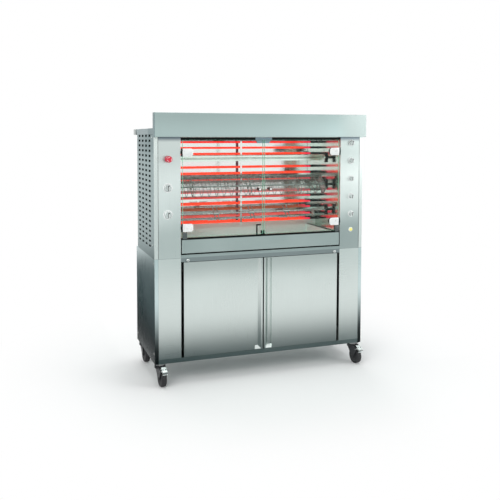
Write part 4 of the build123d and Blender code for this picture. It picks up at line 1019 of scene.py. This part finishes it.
# Dial rings, stop button collar and lamp bezel
controlLook = {
    "leftX": middleOf("knob_left_upper", 0),
    "rightX": middleOf("knob_right_1", 0),
    "leftRing": 0.029,
    "rightRing": 0.021,
    "ring": 0.002,
    "ringStep": 0.0016,
    "gap": 0.0003,
    # how many ticks a dial has, and the angle that they span
    "leftTicks": (11, 300),
    "rightTicks": (7, 180),
    "leftKnob": 0.0225,
    "rightKnob": 0.015,
    "base": 0.008,
    "grip": 0.017,
    "gripWidth": 0.010,
    "waist": 0.62,
    "shaft": 0.004,
    "shaftLength": 0.0238,
    "stopRise": 0.598,
    "stopRadius": 0.021,
    "stopCollar": 0.019,
    "stopCollarLength": 0.014,
    "stopCap": 0.027,
    "stopReach": 0.045,
    "stopStem": 0.008,
    "stopArrows": 3,
    "arrowRise": 0.0440,
    "arrowSweep": 64,
    "lampRise": 0.124,
    "lampRadius": 0.010,
    "lampBody": 0.0088,
    "lampBodyLength": 0.0195,
    "lampBezel": 0.015,
}


def frontMatrix(x, z, proud=0.0):
    # a turned piece's Z becomes the direction out of the front
    return moveBy(x, frontFace - proud, z) @ toFront


stopPlace = frontMatrix(controlLook["leftX"], ovenFloor + controlLook["stopRise"])
lampPlace = frontMatrix(controlLook["rightX"], ovenFloor + controlLook["lampRise"])


def modelDialRing(radius):
    look = controlLook
    return turned(radius, look["ring"] * 0.7, (),
                  [(look["ringStep"], look["ring"] * 0.3), (radius * 0.16, 0), (0.0004, -0.0005)],
                  sides=64)


def modelTicks(radius, count, sweep):
    # short black marks round a dial, set into its face
    ticks = []
    for number in range(count):
        mark = block((0.0009, radius * 0.10, 0.0003),
                     (0, radius * 0.86, controlLook["ring"] + 0.00005))
        ticks.append(placed(mark, spinBy(-sweep / 2 + sweep * number / (count - 1), "Z")))
    return joined(ticks)


def modelKnobBase(radius):
    look = controlLook
    base = turned(radius, look["base"] * 0.45, (),
                  [(radius * 0.06, look["base"] * 0.12), (0.0, look["base"] * 0.28),
                   (radius * 0.05, look["base"] * 0.15), (radius * 0.22, -0.0006)], sides=64)
    softenEdges(base, 0.0005, 2, 30)
    spindle = turned(look["shaft"], look["shaftLength"], [(0.0006, 0.0006)], (), sides=24)
    return joined([base, shifted(spindle, 0, 0, 0.001 - look["shaftLength"])])


def modelKnobGrip(radius):
    # a waisted bar across the knob, with a groove along its crown
    look = controlLook
    reach = 2 * radius - 0.0015
    grip = block((look["gripWidth"], reach, look["grip"]),
                 (0, 0, look["base"] - 0.0012 + look["grip"] / 2))
    stepFaces(grip, lambda face: face.normal.z > 0.9, [(0.0012, 0.0012)])
    for vertex in grip.data.vertices:
        if abs(vertex.co.y) > reach * 0.4:
            vertex.co.x *= look["waist"]
    softenEdges(grip, 0.0011, 3, 30)
    return grip


def modelKnobMarkAndShadow(radius):
    # the mark is a black bar along the left of the grip's crown and a short bar across it: an
    # indicator, whose long bar also paints the grip's shadow
    top = controlLook["base"] + controlLook["grip"]
    return joined([
        block((0.0042, radius * 1.5, 0.0006), (-0.0022, 0, top + 0.00005), 0.0002, 1),
        block((0.0074, radius * 0.30, 0.0006), (0.0006, radius * 0.60, top + 0.0001), 0.0002, 1)])


def fitKnobs():
    look = controlLook
    for names, x, radius in ((leftKnobs, look["leftX"], look["leftKnob"]),
                             (rightKnobs, look["rightX"], look["rightKnob"])):
        models = {"base": (modelKnobBase(radius), "knobSilver"),
                  "grip": (modelKnobGrip(radius), "knobGrip"),
                  "mark": (modelKnobMarkAndShadow(radius), "markBlack")}
        for name in names:
            place = frontMatrix(x, middleOf(name, 2), look["ring"] + look["gap"])
            for part, (model, finishName) in models.items():
                finishPiece(placed(copyOf(model), place), f"{name}_{part}", finishName,
                            name, name)
        discard(model for model, finishName in models.values())


def fitDials():
    look = controlLook
    rings = []
    ticks = []
    for names, x, radius, scale in (
            (leftKnobs, look["leftX"], look["leftRing"], look["leftTicks"]),
            (rightKnobs, look["rightX"], look["rightRing"], look["rightTicks"])):
        for name in names:
            place = frontMatrix(x, middleOf(name, 2))
            rings.append(placed(modelDialRing(radius), place))
            ticks.append(placed(modelTicks(radius, *scale), place))
    finishPiece(joined(rings), "dialRings", "dialWhite", replaced="control_bezels")
    finishPiece(joined(ticks), "dialTicks", "markGrey")
    # the collar wears the darker red, painted shade for the side of the stop button's head
    half = look["stopCollarLength"] * 0.5
    collar = turned(look["stopCollar"], half, (),
                    [(0.0012, 0.0012), (0.0, half - 0.0024), (0.0012, 0.0012)], sides=48)
    finishPiece(placed(collar, stopPlace), "stopCollar", "stopDark",
                replaced="control_bezels")
    bezel = turned(look["lampBezel"], 0.0016, (),
                   [(0.0012, 0.0012), (0.0014, 0.0012), (0.0010, -0.0008)], sides=48)
    finishPiece(placed(bezel, lampPlace), "lampBezel", "dialWhite",
                replaced="control_bezels")


def modelStopButton():
    # mushroom head with a grip groove round it, on a stem
    look = controlLook
    head = look["stopReach"] - look["stopCap"]
    radius = look["stopRadius"]
    cap = turned(radius * 0.93, head * 0.16, [(0.003, 0.0), (0.002, -0.002)],
                 [(-radius * 0.07, head * 0.10), (0.0, head * 0.30), (radius * 0.04, head * 0.10),
                  (radius * 0.07, head * 0.13), (radius * 0.13, head * 0.12),
                  (radius * 0.22, head * 0.07), (radius * 0.26, head * 0.02)], sides=64)
    shifted(cap, 0, 0, look["stopCap"])
    stem = turned(look["stopStem"], look["stopCap"] + 0.014, [(0.001, 0.001)],
                  [(0.001, 0.0)], sides=32)
    return joined([cap, shifted(stem, 0, 0, -0.013)])


def modelStopArrows():
    # three curved white marks on the head: printed twist arrows, which also paint its highlights
    look = controlLook
    arrows = []
    for number in range(look["stopArrows"]):
        clearSelection()
        bpy.ops.mesh.primitive_circle_add(vertices=8, radius=0.0011, fill_type="NGON",
                                          location=(look["stopRadius"] * 0.58, 0, 0),
                                          rotation=(math.radians(90), 0, 0))
        applyPlace()
        arrow = bpy.context.object
        setMode("EDIT")
        bpy.ops.mesh.select_all(action="SELECT")
        bpy.ops.mesh.spin(steps=10, angle=math.radians(look["arrowSweep"]), center=(0, 0, 0),
                          axis=(0, 0, 1), dupli=False)
        bpy.ops.mesh.edge_face_add()
        bpy.ops.mesh.select_all(action="SELECT")
        bpy.ops.mesh.normals_make_consistent(inside=False)
        setMode("OBJECT")
        turn = spinBy(360 / look["stopArrows"] * number + 20, "Z")
        arrows.append(placed(arrow, turn @ Matrix.Diagonal((1, 1, 0.35, 1))))
    return joined(arrows)


def fitStopAndLamp():
    look = controlLook
    finishPiece(placed(modelStopButton(), stopPlace), "stopButton", "stopRed",
                "estop_button", "estop_button")
    arrows = placed(modelStopArrows(), stopPlace @ moveBy(0, 0, look["arrowRise"]))
    finishPiece(arrows, "stopArrows", "markWhite", "estop_button")
    radius = look["lampRadius"]
    lens = turned(radius, 0.0054, (),
                  [(radius * 0.08, 0.0012), (radius * 0.22, 0.0009), (radius * 0.3, 0.0005)],
                  sides=32)
    body = turned(look["lampBody"], look["lampBodyLength"], [(0.001, 0.001)], (), sides=32)
    shifted(body, 0, 0, 0.002 - look["lampBodyLength"])
    finishPiece(placed(joined([lens, body]), lampPlace), "lampLens", "lampYellow",
                replaced="indicator_lamp")


fitKnobs()
fitDials()
fitStopAndLamp()
print("controls done")


# Glass door fittings: plates, pads, knuckles, clips and pulls
plateLook = {
    "outer": glassHigh[0] - 0.001,
    "length": 0.066,
    "height": 0.048,
    "thick": 0.006,
    "corner": 0.010,
    "rises": [0.182, 0.637],
    "screwInsets": (0.024, 0.048),
    "screwRadius": 0.0045,
    "slot": (0.005, 0.030, 0.003),
    "slotInset": 0.010,
    "padRadius": 0.024,
    "padInset": 0.025,
    "padThick": 0.014,
    "knuckle": 0.004,
    "knuckleHalf": 0.009,
    "knuckleOut": 0.006,
    "clipWidth": 0.027,
    "clipLow": 0.1143,
    "clipLength": 0.040,
    "clipWall": 0.005,
    "clipBridge": 0.0046,
    "pullX": 0.036,
    "pullRise": 0.406,
    "pullNeck": 0.009,
    "pullRadius": 0.015,
    "pullLength": 0.032,
}


def modelPlate(thick, slotted):
    # drawn for the right door: straight outer edge at x = 0 and cut inner corners
    look = plateLook
    plate = block((look["length"], thick, look["height"]), (-look["length"] / 2, thick / 2, 0))
    selectFaces(plate, lambda face: False)
    bpy.context.tool_settings.mesh_select_mode = (False, True, False)
    setMode("OBJECT")
    for edge in plate.data.edges:
        first, second = (plate.data.vertices[index].co for index in edge.vertices)
        edge.select = abs(first.y - second.y) > thick / 2 and first.x < -look["length"] / 2
    setMode("EDIT")
    bpy.ops.mesh.bevel(offset=look["corner"], segments=1, affect="EDGES")
    setMode("OBJECT")
    softenEdges(plate, 0.0008, 2, 50)
    if slotted:
        width, height, depth = look["slot"]
        slot = block((width, depth * 2, height), (-look["slotInset"], 0, 0), width * 0.45, 4)
        cut(plate, [slot])
    return plate


def modelPlateScrew():
    head = turned(plateLook["screwRadius"], 0.0012, (), [(0.0008, 0.0006)], sides=24)
    recess = block((0.0080, 0.0010, 0.0010), (0, 0, 0.0018))
    cut(head, [placed(recess, spinBy(35, "Z"))])
    return placed(head, toFront)


def modelPad():
    look = plateLook
    radius = look["padRadius"]
    pad = turned(radius, look["padThick"] * 0.8, (),
                 [(0.0, look["padThick"] * 0.12), (0.0014, look["padThick"] * 0.08),
                  (radius * 0.45, 0.0), (0.0008, -0.0012)], sides=40)
    return placed(pad, spinBy(-90, "X"))


def modelKnuckles():
    look = plateLook
    pieces = []
    length = look["height"] / 2 - look["knuckleHalf"]
    for low in (-look["height"] / 2, look["knuckleHalf"]):
        barrel = turned(look["knuckle"], length, [(0.0006, 0.0005)], [(0.0006, 0.0005)], sides=24)
        pieces.append(shifted(barrel, look["knuckleOut"], 0, low))
        pieces.append(block((0.007, look["knuckle"] * 1.1, length - 0.001),
                            (0.0025, 0, low + length / 2), 0.0006))
    return joined(pieces)


def modelClip():
    look = plateLook
    glass = glassHigh[1] - glassLow[1]
    width, wall, bridge = look["clipWidth"], look["clipWall"], look["clipBridge"]
    low, top = look["clipLow"], look["clipLow"] + look["clipLength"]
    foot = low + wall
    return joined([block((width, depth, height), (-width / 2, y, z), 0.0009)
                   for depth, height, y, z in (
                       (look["thick"], top - low, -look["thick"] / 2, (low + top) / 2),
                       (wall, top - foot, glass + wall / 2, (top + foot) / 2),
                       (glass + 0.001, bridge, glass / 2, foot + bridge / 2))])


def modelPull():
    look = plateLook
    radius, neck = look["pullRadius"], look["pullNeck"]
    pull = turned(neck, 0.008, (),
                  [(-0.004, 0.003), (-0.002, 0.002), (0.0, look["pullLength"] - 0.018),
                   (0.0012, 0.0022), (0.0026, 0.0018), (radius * 0.3, 0.0), (0.0006, -0.0012)],
                  sides=40)
    washer = turned(neck, 0.003, [(0.001, 0.0005)], (), sides=32)
    return joined([pull, shifted(washer, 0, 0, -0.009)])


def modelPullCap():
    radius = plateLook["pullRadius"] * 0.42
    cap = turned(radius, 0.0012, (), [(radius * 0.2, 0.0006), (radius * 0.3, 0.0003)], sides=32)
    return shifted(cap, 0, 0, plateLook["pullLength"] - 0.0024)


def fitGlassFittings():
    look = plateLook
    front, rear = glassLow[1], glassHigh[1]
    face = front - look["thick"]
    hingeLine = pivotOf("glass_door_right_hinge").y
    outer, inner = modelPlate(look["thick"], True), modelPlate(look["thick"] / 2, False)
    screw, pad, knuckles = modelPlateScrew(), modelPad(), modelKnuckles()
    clip, pull, cap = modelClip(), modelPull(), modelPullCap()
    groups = {"hingePlates": ([], "plateWhite"), "plateKnuckles": ([], "hingeDark"),
              "plateScrews": ([], "plateWhite"), "platePads": ([], "padBlack"),
              "glassClips": ([], "clipGrey"),
              "doorPull": ([], "pullBlack"), "pullCap": ([], "markWhite")}

    def put(label, model, inset, y, z):
        groups[label][0].append(copyOf(model, (look["outer"] - inset, y, z)))

    for rise in look["rises"]:
        z = ovenFloor + rise
        put("hingePlates", outer, 0, face, z)
        put("platePads", inner, 0, rear, z)
        put("plateKnuckles", knuckles, 0, hingeLine, z)
        for inset in look["screwInsets"]:
            put("plateScrews", screw, inset, face, z)
        put("platePads", pad, look["length"] - look["padInset"], rear, z)
    put("glassClips", clip, 0, front, ovenFloor)
    pullPlace = moveBy(look["pullX"], front, ovenFloor + look["pullRise"]) @ toFront
    groups["doorPull"][0].append(placed(copyOf(pull), pullPlace))
    groups["pullCap"][0].append(placed(copyOf(cap), pullPlace))
    for label, (models, finishName) in groups.items():
        right = joined(models)
        for piece, side in ((right, "right"), (copyOf(right, flip=True), "left")):
            finishPiece(piece, f"{label}_{side}", finishName, f"glass_door_{side}",
                        f"glass_fittings_{side}")
    discard([outer, inner, screw, pad, knuckles, clip, pull, cap])


fitGlassFittings()
print("glass fittings done")


# Ceramic collars where the elements pass through the chamber walls
collarLook = {"radius": 0.0095, "length": 0.009, "flange": 0.003, "tube": 0.013}


def fitElementCollars():
    look = collarLook
    y = (elementsLow[1] + elementsHigh[1]) / 2
    shares = elementLook["shares"]
    rise = (elementsHigh[2] - elementsLow[2] - look["tube"]) / (shares[-1] - shares[0])
    model = turned(look["radius"], look["flange"], (),
                   [(0.0006, 0.0006), (0.0022, 0.0), (0.0006, look["length"] - 0.0042),
                    (0.0008, 0.0006)], sides=24)
    collars = []
    for share in shares:
        z = elementsLow[2] + look["tube"] / 2 + (share - shares[0]) * rise
        for hand in (-1, 1):
            place = moveBy(hand * elementsHigh[0], y, z) @ spinBy(-90 * hand, "Y")
            collars.append(placed(copyOf(model), place))
    discard([model])
    finishPiece(joined(collars), "elementCollars", "clipGrey")


fitElementCollars()
print("element collars done")


# Dark lines on the chamber's back wall: a plum strip that paints the shadow beside the elements'
# support, and grey seams that also paint dark reflections
seamLook = {
    "proud": 0.0008,
    # the plum strip is a painted shadow; the grey strips are seams that also paint dark reflections
    "strips": [(-0.012, 0.018, "seamPlum"), (0.457, 0.003, "seamGrey"), (0.523, 0.003, "seamGrey")],
}


def fitWallLinesAndShadow():
    low, high = elementsLow[2], elementsHigh[2]
    proud = seamLook["proud"]
    for number, (x, width, finishName) in enumerate(seamLook["strips"]):
        seam = block((width, proud, high - low), (x, chamberBack - proud / 2, (high + low) / 2),
                     proud * 0.3, 1)
        finishPiece(seam, f"wallDarkLine_{number}", finishName)


fitWallLinesAndShadow()
print("wall seams done")
